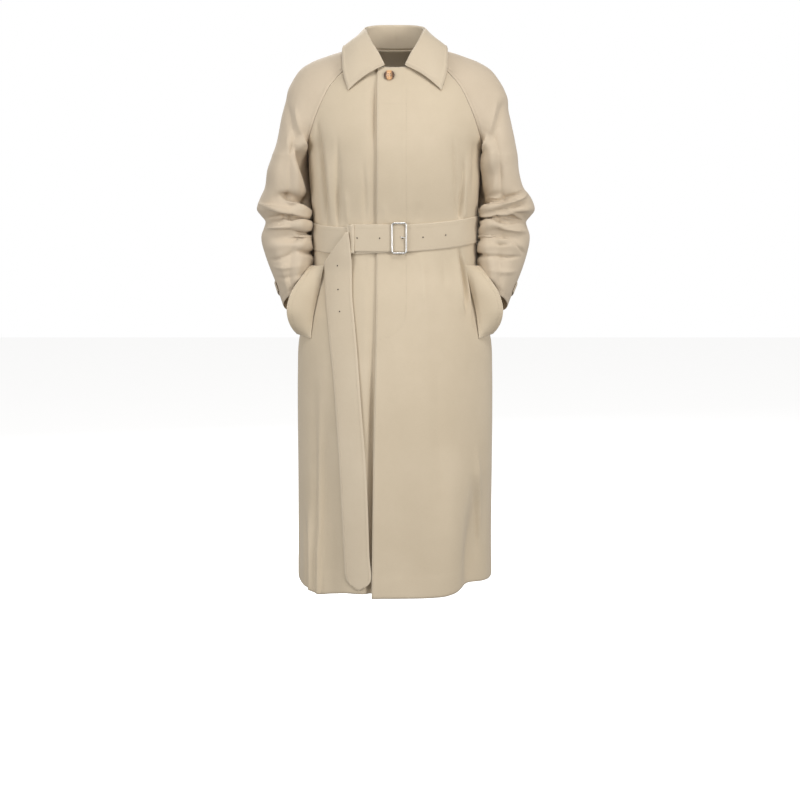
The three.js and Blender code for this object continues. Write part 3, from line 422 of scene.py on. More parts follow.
# The main folds of the back, gathered under the belt and falling to the hem
BACK_FOLDS = table(
    "top_x top_z foot_x foot_z width height",
    (-0.12, -0.17, -0.11, -0.35, 0.018, -0.006),
    (-0.048, -0.2, -0.042, -0.35, 0.016, 0.005),
    (0.04, -0.19, 0.036, -0.35, 0.017, -0.005),
    (0.112, -0.17, 0.104, -0.35, 0.018, 0.006),
    (-0.092, -0.44, -0.104, -0.7, 0.018, -0.007),
    (-0.02, -0.44, -0.024, -0.76, 0.022, 0.006),
    (0.07, -0.44, 0.084, -0.72, 0.018, -0.007),
    (-0.06, -0.7, -0.072, -1.3, 0.034, 0.012),
    (0.01, -0.76, 0.012, -1.3, 0.03, -0.012),
    (0.096, -0.72, 0.112, -1.3, 0.036, 0.013),
    (-0.15, -0.76, -0.164, -1.3, 0.028, -0.012),
)

# The main folds round each elbow, by their height at the outer and the inner side
ELBOW_FOLDS = table(
    "outer_z inner_z width height from to",
    (-0.328, -0.345, 0.009, 0.006, -175, -20),
    (-0.3, -0.318, 0.01, -0.006, -178, -60),
    (-0.352, -0.366, 0.008, -0.005, -175, -10),
    (-0.366, -0.388, 0.009, 0.006, -170, -20),
    (-0.398, -0.412, 0.01, -0.006, -178, -50),
    (-0.414, -0.436, 0.01, 0.004, -165, -20),
    (-0.342, -0.35, 0.01, 0.005, 20, 170),
    (-0.372, -0.384, 0.011, -0.005, 20, 175),
    (-0.402, -0.414, 0.011, 0.004, 20, 165),
)

# The finer creases of the fronts as they show: a line from start to foot, out where its lift is positive
FRONT_CREASES = table(
    "top_x top_z foot_x foot_z bend width lift",
    (-0.165, -0.15, -0.147, -0.366, 0.001, 0.0044, -0.01),
    (-0.149, -0.17, -0.135, -0.366, 0.001, 0.006, 0.003),
    (-0.121, -0.19, -0.122, -0.366, 0.001, 0.004, -0.004),
    (-0.122, -0.29, -0.122, -0.37, 0, 0.0032, -0.0042),
    (-0.104, -0.3, -0.1, -0.366, 0, 0.006, 0.0025),
    (-0.066, -0.24, -0.062, -0.366, 0.001, 0.0042, -0.0034),
    (-0.022, -0.325, -0.02, -0.366, 0, 0.007, 0.0015),
    (0.052, -0.322, 0.05, -0.366, 0, 0.006, -0.0015),
    (0.123, -0.185, 0.133, -0.366, 0.001, 0.004, -0.0036),
    (0.148, -0.225, 0.139, -0.366, 0.001, 0.0036, -0.0058),
    (0.141, -0.295, 0.139, -0.37, 0, 0.003, -0.004),
    (0.15, -0.26, 0.149, -0.366, 0, 0.0042, 0.0034),
    (0.168, -0.19, 0.166, -0.3, 0.002, 0.005, -0.0034),
    (-0.148, -0.428, -0.16, -0.5, 0.002, 0.006, -0.004),
    (-0.06, -0.428, -0.064, -0.49, 0.001, 0.007, -0.002),
    (0.056, -0.432, 0.062, -0.54, 0.002, 0.008, 0.0025),
    (0.1, -0.424, 0.108, -0.5, 0.001, 0.006, -0.0015),
    (0.13, -0.424, 0.15, -0.55, 0.002, 0.0055, 0.004),
    (0.138, -0.418, 0.154, -0.552, 0.002, 0.0034, -0.01),
    (0.147, -0.42, 0.164, -0.56, 0.002, 0.0042, 0.004),
    (0.148, -0.424, 0.176, -0.6, 0.003, 0.0034, -0.005),
    (0.045, -0.7, 0.062, -1.06, 0.006, 0.02, 0.002),
    (0.09, -0.64, 0.104, -1, -0.005, 0.018, -0.002),
    (-0.174, -0.7, -0.176, -1.2, 0.002, 0.009, -0.0045),
    (-0.16, -0.74, -0.162, -1.16, -0.002, 0.006, 0.0036),
    (-0.15, -0.78, -0.154, -1.12, 0.002, 0.007, -0.003),
    (-0.196, -1, -0.194, -1.2, 0.001, 0.004, -0.005),
    (-0.187, -0.98, -0.186, -1.2, 0, 0.004, 0.004),
    (-0.168, -1.02, -0.167, -1.2, 0, 0.0045, 0.0045),
    (-0.161, -1.03, -0.16, -1.2, 0, 0.004, -0.0045),
    (0.176, -0.84, 0.184, -1.06, 0.002, 0.006, 0.005),
    (0.168, -0.9, 0.178, -1.1, 0.002, 0.007, -0.004),
)

# The finer creases of the back
BACK_CREASES = table(
    "top_x top_z foot_x foot_z bend width lift",
    (-0.14, -0.25, -0.136, -0.352, 0.002, 0.007, -0.003),
    (-0.084, -0.27, -0.08, -0.352, -0.002, 0.007, 0.003),
    (-0.022, -0.29, -0.02, -0.352, 0.001, 0.006, -0.003),
    (0.018, -0.262, 0.02, -0.352, 0.002, 0.007, 0.003),
    (0.072, -0.284, 0.068, -0.352, -0.001, 0.006, -0.003),
    (0.13, -0.256, 0.126, -0.352, 0.002, 0.007, 0.003),
    (-0.13, -0.412, -0.142, -0.5, 0.002, 0.007, -0.003),
    (-0.058, -0.412, -0.064, -0.52, -0.002, 0.008, 0.003),
    (0.02, -0.412, 0.022, -0.49, 0.001, 0.007, -0.003),
    (0.1, -0.412, 0.112, -0.51, 0.002, 0.008, 0.003),
    (0.03, -0.6, 0.04, -0.98, 0.006, 0.02, 0.003),
    (-0.11, -0.64, -0.124, -1.04, 0.005, 0.018, -0.003),
)

# The creases on the front of the wearer's right sleeve, by distance out from the centre and height
RIGHT_SLEEVE_CREASES = table(
    "top_x top_z foot_x foot_z bend width lift",
    (0.293, -0.327, 0.176, -0.346, 0.003, 0.006, 0.0085),
    (0.242, -0.313, 0.177, -0.344, 0.002, 0.0045, 0.006),
    (0.246, -0.306, 0.17, -0.326, 0, 0.012, -0.015),
    (0.211, -0.205, 0.176, -0.304, 0.004, 0.0085, -0.01),
    (0.212, -0.205, 0.18, -0.322, -0.006, 0.024, -0.02),
    (0.228, -0.19, 0.198, -0.296, 0.004, 0.011, 0.003),
    (0.244, -0.352, 0.169, -0.368, 0, 0.005, -0.012),
    (0.279, -0.379, 0.197, -0.372, -0.003, 0.0058, 0.008),
    (0.247, -0.357, 0.197, -0.371, 0.002, 0.004, 0.0045),
    (0.258, -0.368, 0.208, -0.372, 0, 0.0032, -0.0035),
    (0.218, -0.382, 0.168, -0.393, 0, 0.0085, -0.013),
    (0.22, -0.387, 0.18, -0.402, 0, 0.0055, 0.005),
    (0.184, -0.398, 0.169, -0.42, 0, 0.006, -0.007),
    (0.211, -0.426, 0.168, -0.433, 0, 0.0085, -0.013),
    (0.274, -0.357, 0.24, -0.352, 0, 0.0045, -0.0045),
    (0.276, -0.447, 0.2, -0.418, 0.006, 0.007, -0.004),
    (0.268, -0.462, 0.186, -0.446, 0.006, 0.008, 0.004),
    (0.262, -0.486, 0.196, -0.47, 0.004, 0.007, -0.003),
    (0.232, -0.11, 0.196, -0.215, 0.006, 0.014, -0.0045),
    (0.212, -0.12, 0.186, -0.205, 0.004, 0.009, 0.003),
)

# The creases on the front of the wearer's left sleeve
LEFT_SLEEVE_CREASES = table(
    "top_x top_z foot_x foot_z bend width lift",
    (0.22, -0.24, 0.182, -0.335, 0.003, 0.026, -0.013),
    (0.282, -0.306, 0.202, -0.336, 0.004, 0.0055, 0.009),
    (0.276, -0.298, 0.198, -0.323, 0.003, 0.005, -0.007),
    (0.28, -0.325, 0.203, -0.339, 0.002, 0.0036, -0.005),
    (0.291, -0.336, 0.248, -0.339, 0, 0.0045, 0.005),
    (0.252, -0.342, 0.198, -0.345, 0.002, 0.0048, 0.008),
    (0.249, -0.341, 0.269, -0.354, 0, 0.004, 0.005),
    (0.267, -0.358, 0.222, -0.35, 0, 0.0034, -0.005),
    (0.283, -0.386, 0.216, -0.367, 0.003, 0.0062, 0.007),
    (0.268, -0.363, 0.205, -0.36, 0.002, 0.0045, -0.006),
    (0.204, -0.33, 0.174, -0.351, 0, 0.0042, 0.005),
    (0.216, -0.352, 0.172, -0.365, 0, 0.0075, -0.014),
    (0.202, -0.323, 0.175, -0.339, 0, 0.0055, -0.009),
    (0.198, -0.37, 0.175, -0.383, 0, 0.005, -0.008),
    (0.192, -0.388, 0.178, -0.428, 0, 0.009, -0.008),
    (0.25, -0.403, 0.19, -0.4, 0.002, 0.0055, 0.005),
    (0.246, -0.411, 0.192, -0.408, 0.002, 0.0045, -0.0045),
    (0.271, -0.438, 0.192, -0.433, 0.003, 0.0048, -0.006),
    (0.198, -0.428, 0.178, -0.446, 0, 0.006, -0.01),
    (0.25, -0.402, 0.276, -0.427, 0, 0.0034, -0.0025),
    (0.262, -0.47, 0.196, -0.462, 0.004, 0.008, 0.0035),
    (0.228, -0.11, 0.194, -0.215, 0.006, 0.014, -0.0045),
    (0.214, -0.112, 0.19, -0.2, 0.004, 0.009, 0.003),
)

# The creases behind both sleeves
BEHIND_SLEEVE_CREASES = table(
    "top_x top_z foot_x foot_z bend width lift",
    (0.284, -0.336, 0.206, -0.352, 0.004, 0.008, 0.004),
    (0.28, -0.368, 0.206, -0.378, 0.003, 0.008, -0.004),
    (0.276, -0.398, 0.21, -0.408, -0.003, 0.008, 0.003),
    (0.262, -0.3, 0.208, -0.312, 0.003, 0.009, -0.003),
    (0.24, -0.24, 0.2, -0.262, 0.003, 0.009, 0.0025),
)

# The line of stitches that holds the covered fly, down and round to the front edge
FLY_STITCH = table(
    "x z",
    (0.024, -0.075),
    (0.0243, -0.2),
    (0.0243, -0.366),
    (0.0245, -0.48),
    (0.024, -0.548),
    (0.019, -0.574),
    (0.006, -0.59),
    (-0.009, -0.602),
    (-0.033, -0.607),
)


# Reading the tables

def rising(rows, key, column):
    """Two columns of a table in the order in which the first one rises."""
    order = 1 if rows[key][-1] > rows[key][0] else -1
    return rows[key][::order], rows[column][::order]


def read(rows, key, place, column):
    """A column's value at each place, on a smooth curve through the table's rows."""
    keys, values = rising(rows, key, column)
    slopes = np.empty(len(keys))
    slopes[1:-1] = (values[2:] - values[:-2]) / (keys[2:] - keys[:-2])
    slopes[0] = (values[1] - values[0]) / (keys[1] - keys[0])
    slopes[-1] = (values[-1] - values[-2]) / (keys[-1] - keys[-2])
    i = np.clip(np.searchsorted(keys, place, side="right") - 1, 0, len(keys) - 2)
    span = keys[i + 1] - keys[i]
    t = np.clip((place - keys[i]) / span, 0, 1)
    rise = t * t * (3 - 2 * t)
    lead = t * (1 - t) * (1 - t) * span
    tail = t * t * (t - 1) * span
    return values[i] + (values[i + 1] - values[i]) * rise + slopes[i] * lead + slopes[i + 1] * tail


def straight(rows, key, place, column):
    """A column's value at each place, on straight lines from row to row."""
    return np.interp(place, *rising(rows, key, column))


def reader(rows, place):
    """Reads any column of a table at those row places."""
    return lambda column: read(rows, "at", place, column)


def lattice(first, second):
    """Two runs of numbers as the rows and the columns of a grid."""
    return np.meshgrid(first, second, indexing="ij")


def smooth(start, end, value):
    """0 before start, 1 after end, and a soft rise in between."""
    t = np.clip((value - start) / (end - start), 0, 1)
    return t * t * (3 - 2 * t)


def power(value, exponent):
    """A power that keeps the sign of its value."""
    return np.sign(value) * np.abs(value) ** exponent


def point(x, y, z):
    return np.stack(np.broadcast_arrays(np.asarray(x, float), y, z), axis=-1)


def unit(vectors):
    """The vectors at a length of one."""
    lengths = np.linalg.norm(vectors, axis=-1, keepdims=True)
    return vectors / np.maximum(lengths, 1e-12)


ARMPIT_ROW = len(TRUNK["z"]) - 1
RAGLAN_STEPS = len(RAGLAN["z"]) - 1
NECK_ROW = ARMPIT_ROW + RAGLAN_STEPS
ARMPIT_Z = RAGLAN["z"][0]
HEM_Z = TRUNK["z"][0]


# The body

def trunk_section(z, behind):
    """At each height the section's half width, its depth, and the angle at which its panel ends."""
    side = "back" if behind else "front"
    z_below = np.clip(z, HEM_Z, ARMPIT_Z)
    half_below = read(TRUNK, "z", z_below, "side")
    depth_below = read(TRUNK, "z", z_below, side)
    mark = "back_" if behind else ""
    at = straight(RAGLAN, mark + "z", z, "at")
    x = read(RAGLAN, "at", at, mark + "x")
    y = read(RAGLAN, "at", at, mark + "y")
    depth = read(RAGLAN, "at", at, mark + "depth")
    half = x / (1 - (y / depth) ** SECTION_POWER) ** (1 / SECTION_POWER)
    sweep = np.arcsin(np.minimum(1, (x / half) ** (SECTION_POWER / 2)))
    below = z <= ARMPIT_Z
    return (
        np.where(below, half_below, half),
        np.where(below, depth_below, depth),
        np.where(below, math.pi / 2, sweep),
    )


def fold_height(folds, x, z):
    """How far the folds lift the cloth out at each place."""
    height = 0
    for top_x, top_z, foot_x, foot_z, width, lift, _ in zip(*folds.values()):
        along = np.clip((top_z - z) / (top_z - foot_z), 0, 1)
        across = (x - top_x - (foot_x - top_x) * along) / width
        height += lift * np.sin(math.pi * along) ** FOLD_END_ROUNDNESS * np.exp(-across**2)
    return height


def trunk_point(across, z, behind, raised=0):
    """A point of the trunk: across runs from -1 at one seam to 1 at the other."""
    half, depth, sweep = trunk_section(z, behind)
    angle = across * sweep
    x = half * power(np.sin(angle), 2 / SECTION_POWER)
    y = (1 if behind else -1) * depth * power(np.cos(angle), 2 / SECTION_POWER)
    out_x = power(x / half, SECTION_POWER - 1) / half
    out_y = power(y / depth, SECTION_POWER - 1) / depth
    length = np.hypot(out_x, out_y)
    folds = fold_height(BACK_FOLDS if behind else FRONT_FOLDS, x, z)
    lift = raised + folds * smooth(0, FOLD_CLEAR, 1 - np.abs(across))
    return point(x + lift * out_x / length, y + lift * out_y / length, z)


def across_at(x, z, behind):
    """Where on its panel, from -1 to 1, a point of the trunk with this x lies."""
    half, _, sweep = trunk_section(z, behind)
    share = np.minimum(1, np.abs(x) / half)
    return np.sign(x) * np.arcsin(share ** (SECTION_POWER / 2)) / sweep


def panel_height(row, across, hem, behind):
    """Heights of a panel's rows: the hem to the armpit, then up to its own neck edge."""
    i = np.clip(np.floor(row).astype(int), 0, ARMPIT_ROW - 1)
    low = np.where(i == 0, hem, TRUNK["z"][i])
    z_below = low + (TRUNK["z"][i + 1] - low) * (row - i)
    key = "back_z" if behind else "z"
    seam_z = straight(RAGLAN, "at", row - ARMPIT_ROW, key)
    corner = BACK_NECK_Z if behind else NECK_CORNER_Z
    edge = np.full(np.shape(across), BACK_NECK_Z) if behind else front_neck_z(across)
    z_above = ARMPIT_Z + (seam_z - ARMPIT_Z) / (corner - ARMPIT_Z) * (edge - ARMPIT_Z)
    return np.where(row <= ARMPIT_ROW, z_below, z_above)


def front_neck_z(across):
    return NECK_CORNER_Z - FRONT_NECK_DROP * (1 - across * across)


def front_edge_across(row, hem, edge_x):
    """Where a front ends in each row, so that its edge runs along edge_x."""
    across = np.zeros(np.shape(row))
    for _ in range(3):
        z = panel_height(row, across, hem, False)
        across = across_at(edge_x(z), z, False)
    return across


def over_front_point(row, share):
    """A point of the wearer's left front, from its free edge to the side."""
    hem = HEM_Z - OVER_FRONT_HEM_DROP
    start = front_edge_across(row, hem, lambda z: read(OVERLAP, "z", z, "x"))
    across = start + (1 - start) * share
    hem_here = HEM_Z - OVER_FRONT_HEM_DROP * np.cos(across * OVER_FRONT_HEM_TURN)
    return trunk_point(across, panel_height(row, across, hem_here, False), False)


def under_front_point(row, share):
    """A point of the wearer's right front, which steps in under the other."""
    start = front_edge_across(row, HEM_Z, lambda z: np.full(np.shape(z), UNDERLAP_X))
    across = start + (-1 - start) * share
    z = panel_height(row, across, HEM_Z, False)
    x = trunk_point(across, z, False)[..., 0]
    edge = read(OVERLAP, "z", z, "x")
    under = smooth(edge - UNDERLAP_STEP["out"], edge - UNDERLAP_STEP["in"], x)
    return trunk_point(across, z, False, -UNDERLAP_INSET * under)


def back_point(row, share):
    across = 2 * share - 1
    return trunk_point(across, panel_height(row, across, HEM_Z, True), True)


# The sleeves

def raglan_point(place, share):
    """A point of the shoulder: place counts the rings up from the armpit, share goes round one."""
    value = reader(RAGLAN, place)
    front = point(value("x"), -value("y"), straight(RAGLAN, "at", place, "z"))
    back = point(value("back_x"), value("back_y"), straight(RAGLAN, "at", place, "back_z"))
    middle = (front + back) / 2
    crest = point(value("crest_x"), middle[..., 1], value("crest_z"))
    wrap = np.radians(value("wrap"))
    outward = crest - middle
    wide = np.linalg.norm(outward, axis=-1) / (1 - np.cos(wrap))
    half_chord = np.linalg.norm(back - front, axis=-1) / 2
    ring_deep = half_chord / np.maximum(np.sin(wrap), 1e-3)
    deep = SLEEVE["deep"][0] + (ring_deep - SLEEVE["deep"][0]) * smooth(0, 0.8, place)
    along = np.where(half_chord[..., None] > 1e-4, unit(back - front), np.array([0.0, 1.0, 0.0]))
    angle = (2 * share - 1) * wrap
    across = wide * (np.cos(angle) - 1)
    return crest + unit(outward) * across[..., None] + along * (deep * np.sin(angle))[..., None]


def elbow_fold(angle, z):
    """How far the folds round the elbow lift the sleeve at each angle."""
    degrees = np.degrees(angle)
    height = 0
    for outer_z, inner_z, width, lift, start, end, _ in zip(*ELBOW_FOLDS.values()):
        along = np.clip((degrees - start) / (end - start), 0, 1)
        centre = outer_z + (inner_z - outer_z) * np.abs(degrees) / 180
        height += lift * np.sin(math.pi * along) * np.exp(-((z - centre) / width) ** 2)
    return height


def arm_point(place, share):
    """A point of the sleeve below the armpit: place counts the rings down, share goes round one."""
    value = reader(SLEEVE, place)
    angle = (2 * share - 1) * math.pi
    lift = elbow_fold(angle, value("z"))
    x = (value("wide") + lift) * np.cos(angle)
    y = (value("deep") + lift) * np.sin(angle)
    return point(value("x") + x, value("y") + y, value("z") - value("raise") * y - value("lower") * x)


def sleeve_point(row, share, side):
    """Rows run from the neck down to the cuff; side is 1 for the wearer's left arm."""
    upper = raglan_point(np.clip(RAGLAN_STEPS - row, 0, RAGLAN_STEPS), share)
    lower = arm_point(np.maximum(row - RAGLAN_STEPS, 0), share)
    result = np.where((row <= RAGLAN_STEPS)[..., None], upper, lower)
    result[..., 0] += SEAM_GAP * 2 * smooth(RAGLAN_STEPS - 3, RAGLAN_STEPS, row)
    result[..., 0] *= side
    return result


# The collar

def neck_point(at):
    """The neck edge of the panels, from the collar's front end to the centre of the back."""
    start = NECK_RUN["front_end"]
    sleeve_from = NECK_RUN["sleeve_from"]
    sleeve_to = NECK_RUN["sleeve_to"]
    across = np.minimum(start + (1 - start) * np.maximum(at, 0) / sleeve_from, 1)
    front = trunk_point(across, front_neck_z(across), False)
    share = np.clip((at - sleeve_from) / (sleeve_to - sleeve_from), 0, 1)
    shoulder = raglan_point(np.full(np.shape(at), float(RAGLAN_STEPS)), share)
    last = NECK_RUN["last"]
    behind_share = np.clip((last - at) / (last - sleeve_to), 0, 1)
    behind = trunk_point(behind_share, np.full(np.shape(at), BACK_NECK_Z), True)
    result = np.where((at < sleeve_to)[..., None], shoulder, behind)
    return np.where((at <= sleeve_from)[..., None], front, result)


def collar_rows(u):
    """The roll line, the neck seam and the outer edge at each u, from -1 to 1 round the collar."""
    at = (len(COLLAR["at"]) - 1) * (1 - np.abs(u))
    side = np.where(u < 0, -1.0, 1.0)

    value = reader(COLLAR, at)

    def line(name):
        return point(side * value(f"{name}_x"), value(f"{name}_y"), value(f"{name}_z"))

    neck = neck_point(at)
    neck[..., 0] *= side
    neck[..., 2] += COLLAR_SEAT
    return line("roll"), neck, line("edge"), value("bulge")


def collar_fall_point(across, u):
    """A point of the turned-down collar, from the roll line to its outer edge."""
    roll, _, edge, swell = collar_rows(u)
    fall = edge - roll
    outward = unit((roll + edge) * np.array([1.0, 1.0, 0.0]))
    reach = np.maximum(np.sum(fall * outward, axis=-1), 0.001)
    bulge = unit(outward * -fall[..., 2:] + reach[..., None] * np.array([0.0, 0.0, 1.0]))
    lift = swell * np.sin(math.pi * across)
    return roll + fall * across[..., None] + bulge * lift[..., None]


def collar_stand_point(up, u):
    """A point of the stand, from the neck seam up to the roll line."""
    roll, neck, _, _ = collar_rows(u)
    inward = unit(roll * np.array([-1.0, -1.0, 0.0])) * COLLAR_ROLL_GAP
    return neck + (roll + inward - neck) * up[..., None]


# The pockets, the belt and what lies in front of it

def welt_point(down, out, side):
    """A point of a welt: down runs along it, out from its sewn edge to its free one."""
    value = reader(WELT, down)
    sewn_x = side * value("sewn_x")
    sewn_z = value("sewn_z")
    sewn = trunk_point(across_at(sewn_x, sewn_z, False), sewn_z, False, WELT_THICK + WELT_REST)
    free = point(side * value("free_x"), value("free_y"), value("free_z"))
    result = sewn + (free - sewn) * out[..., None]
    last = len(WELT["at"]) - 1
    result[..., 1] -= WELT_BULGE * np.sin(math.pi * out) * np.sin(math.pi * down / last)
    return result


def waist_point(round_at, z, raised):
    """A point round the waist: 0 at the front's centre, 1 and 3 at the sides, 2 behind."""
    behind = trunk_point(np.clip(2 - round_at, -1, 1), z, True, raised)
    before = trunk_point(np.clip(np.where(round_at >= 3, round_at - 4, round_at), -1, 1), z, False, raised)
    at_back = (round_at > 1) & (round_at < 3)
    return np.where(at_back[..., None], behind, before)


def front_layer_point(x, z, raised):
    """Cloth lying in front of the belt, placed by its own x and z."""
    half, depth, _ = trunk_section(z, False)
    share = 1 - np.abs(x / half) ** SECTION_POWER
    return point(x, -depth * share ** (1 / SECTION_POWER) - raised, z)


# Cloth shells on grids of points

class Grid:
    """A sheet of cloth as rows and columns of points, with its outward normals and its own lengths."""

    def __init__(self, points, facing, closed_from=None):
        self.points = points
        self.facing = facing
        self.closed_from = closed_from
        self.measure()

    def measure(self):
        points = self.points
        along_rows = np.gradient(points, axis=0)
        along_columns = np.gradient(points, axis=1)
        if self.closed_from is not None:
            k = self.closed_from
            across = (points[k:, 1] - points[k:, -2]) / 2
            along_columns[k:, 0] = across
            along_columns[k:, -1] = across
        self.normals = unit(np.cross(along_rows, along_columns)) * self.facing
        steps = np.linalg.norm(np.diff(points, axis=1), axis=-1)
        self.across = np.concatenate([np.zeros((len(points), 1)), np.cumsum(steps, axis=1)], axis=1)
        steps = np.linalg.norm(np.diff(points, axis=0), axis=-1)
        self.down = np.concatenate([np.zeros((1, points.shape[1])), np.cumsum(steps, axis=0)], axis=0)

    @property
    def x(self):
        return self.points[..., 0]

    @property
    def z(self):
        return self.points[..., 2]

    def lift(self, height):
        """Moves the sheet out along its normals by the height at each point."""
        self.points = self.points + self.normals * height[..., None]
        self.measure()
        return self

    def from_end(self):
        """The distance of each point from the last column."""
        return self.across[:, -1:] - self.across

    def edge_distance(self):
        distance = np.minimum(self.down, self.down[-1:] - self.down)
        side = np.minimum(self.across, self.from_end())
        if self.closed_from is None:
            return np.minimum(distance, side)
        distance[: self.closed_from] = np.minimum(distance, side)[: self.closed_from]
        return distance

    def sample(self, i, j, proud=0.0):
        """Points at fractional rows i and columns j, lifted off the surface by proud."""
        rows, columns = self.points.shape[:2]
        i = np.clip(np.asarray(i, float), 0, rows - 1.001)
        j = np.clip(np.asarray(j, float), 0, columns - 1.001)
        i0 = i.astype(int)
        j0 = j.astype(int)
        s = (i - i0)[..., None]
        t = (j - j0)[..., None]

        def blend(values):
            near = values[i0, j0] * (1 - t) + values[i0, j0 + 1] * t
            far = values[i0 + 1, j0] * (1 - t) + values[i0 + 1, j0 + 1] * t
            return near * (1 - s) + far * s

        return blend(self.points) + unit(blend(self.normals)) * proud


def along_run(run, distance, from_end):
    """The fractional place at a distance along a run of lengths, from its start or its end."""
    return np.interp(run[-1] - distance if from_end else distance, run, np.arange(len(run)))


def facing_spot(grid, i, j, proud):
    """One point of a grid, lifted by proud, and the outward direction there."""
    i = np.array([float(i)])
    j = np.array([float(j)])
    return grid.sample(i, j, proud)[0], unit(grid.sample(i, j, 1.0)[0] - grid.sample(i, j)[0])


def fill_mesh(name, points, quads, loops_uv=None, flat_from=None):
    """A mesh of quads. Quads from flat_from on are flat shaded."""
    used, quads_flat = np.unique(quads.ravel(), return_inverse=True)
    mesh = bpy.data.meshes.new(name)
    mesh.vertices.add(len(used))
    mesh.vertices.foreach_set("co", points[used].astype(np.float32).ravel())
    mesh.loops.add(quads.size)
    mesh.loops.foreach_set("vertex_index", quads_flat.astype(np.int32).ravel())
    mesh.polygons.add(len(quads))
    mesh.polygons.foreach_set("loop_start", np.arange(0, quads.size, 4, dtype=np.int32))
    shaded = np.ones(len(quads), dtype=bool)
    if flat_from is not None:
        shaded[flat_from:] = False
    mesh.polygons.foreach_set("use_smooth", shaded)
    if loops_uv is not None:
        layer = mesh.uv_layers.new(name="cloth")
        layer.data.foreach_set("uv", loops_uv.astype(np.float32).ravel())
    mesh.update(calc_edges=True)
    mesh.validate()
    return mesh, used


def quad_corners(index):
    """The four corner numbers of every quad of a grid of point numbers."""
    return [index[:-1, :-1], index[1:, :-1], index[1:, 1:], index[:-1, 1:]]


def link(name, mesh):
    item = bpy.data.objects.new(name, mesh)
    bpy.context.scene.collection.objects.link(item)
    return item


def shell_quads(index, under, open_to):
    """The quads of a shell's outer face, its inner face, numbered from under on, and its rims."""
    front = np.stack(quad_corners(index), axis=-1).reshape(-1, 4)

    def rim(first, second):
        return np.stack([second, first, first + under, second + under], axis=-1).reshape(-1, 4)

    return np.concatenate([
        front,
        front[:, [0, 3, 2, 1]] + under,
        rim(index[:open_to, 0], index[1:open_to + 1, 0]),
        rim(index[1:open_to + 1, -1], index[:open_to, -1]),
        rim(index[0, 1:], index[0, :-1]),
        rim(index[-1, :-1], index[-1, 1:]),
    ])


def shell(name, grid, thick=CLOTH, outside=False):
    """A closed shell of cloth: the grid is its outer face, or its inner face where outside is True."""
    points = grid.points
    rows, columns = points.shape[:2]
    outer = points + grid.normals * thick if outside else points.copy()
    inner = points.copy() if outside else points - grid.normals * thick
    soften = SOFT_EDGE * thick
    border = np.zeros((rows, columns), dtype=bool)
    border[0] = True
    border[-1] = True
    open_rows = rows if grid.closed_from is None else grid.closed_from
    border[:open_rows, 0] = True
    border[:open_rows, -1] = True
    outer[border] -= grid.normals[border] * soften
    inner[border] += grid.normals[border] * soften
    index = np.arange(rows * columns).reshape(rows, columns)
    under = rows * columns
    quads = shell_quads(index, under, min(open_rows, rows - 1))
    if grid.facing < 0:
        quads = quads[:, ::-1]
    own = np.stack([grid.across, grid.down], axis=-1).reshape(-1, 2)
    uv = own[quads % under]
    seam = index[open_rows:, -1]
    closing = np.arange(2 * under)
    closing[seam] = index[open_rows:, 0]
    closing[seam + under] = index[open_rows:, 0] + under
    both = np.concatenate([outer.reshape(-1, 3), inner.reshape(-1, 3)])
    mesh, used = fill_mesh(name, both, closing[quads], uv, 2 * (rows - 1) * (columns - 1))
    edge = np.tile(grid.edge_distance().ravel(), 2)[used]
    layer = mesh.attributes.new("edge", "FLOAT", "POINT")
    layer.data.foreach_set("value", edge.astype(np.float32))
    return link(name, mesh)


def fine_rows(point_at, low, high, step):
    """Row places from low to high whose points on the middle line lie about step apart."""
    rough = np.linspace(low, high, 40 * (high - low) + 1)
    middle = np.full(len(rough), 0.5)
    line = point_at(rough, middle)
    run = np.concatenate([[0], np.cumsum(np.linalg.norm(np.diff(line, axis=0), axis=-1))])
    count = max(2, round(run[-1] / step) + 1)
    return np.interp(np.linspace(0, run[-1], count), run, rough)


def ripple(points, length, height, seed):
    """Soft uneven swells of about that length and height."""
    random = np.random.default_rng(seed)
    total = 0
    for _ in range(6):
        direction = unit(random.normal(size=3)) * np.array([1.0, 1.0, 0.6])
        turn = 2 * math.pi / (length * random.uniform(0.7, 1.5))
        total = total + np.sin(points @ direction * turn + random.uniform(0, 6.3))
    return height * total / 6


# Creases and seams on a grid

def crease_height(creases, x, z, taper=0.0):
    """How far the creases lift the cloth: each fades in at its start and out at its foot."""
    height = 0
    for top_x, top_z, foot_x, foot_z, bend, width, lift, _ in zip(*creases.values()):
        length = math.hypot(foot_x - top_x, foot_z - top_z)
        right = (foot_x - top_x) / length
        up = (foot_z - top_z) / length
        along = ((x - top_x) * right + (z - top_z) * up) / length
        off = (z - top_z) * right - (x - top_x) * up
        off = off - bend * np.sin(math.pi * np.clip(along, 0, 1))
        past = along - CREASE_FADE["later"] * taper
        fade = smooth(*CREASE_FADE["in"], along) * (1 - smooth(*CREASE_FADE["out"], past))
        wide = width * (1 - CREASE_FADE["thinner"] * taper * (1 - np.clip(along, 0, 1)))
        height += lift * fade * np.exp(-np.abs(off / wide) ** CREASE_SHARPNESS)
    return height


def belt_offset(x, z, behind):
    """The height above the middle of the belt."""
    across = across_at(x, z, behind)
    if behind:
        return z - read(BELT, "round", 2 - across, "z")
    return z - read(BELT, "round", np.where(across < -0.3, across + 4, across), "z")


def cinch(height, x, z, behind):
    """The belt presses its band of the cloth flat."""
    off = np.abs(belt_offset(x, z, behind))
    free = smooth(*BELT_PRESS_FADE, off - BELT_WIDTH / 2)
    return height * free - BELT_PRESS * (1 - free)


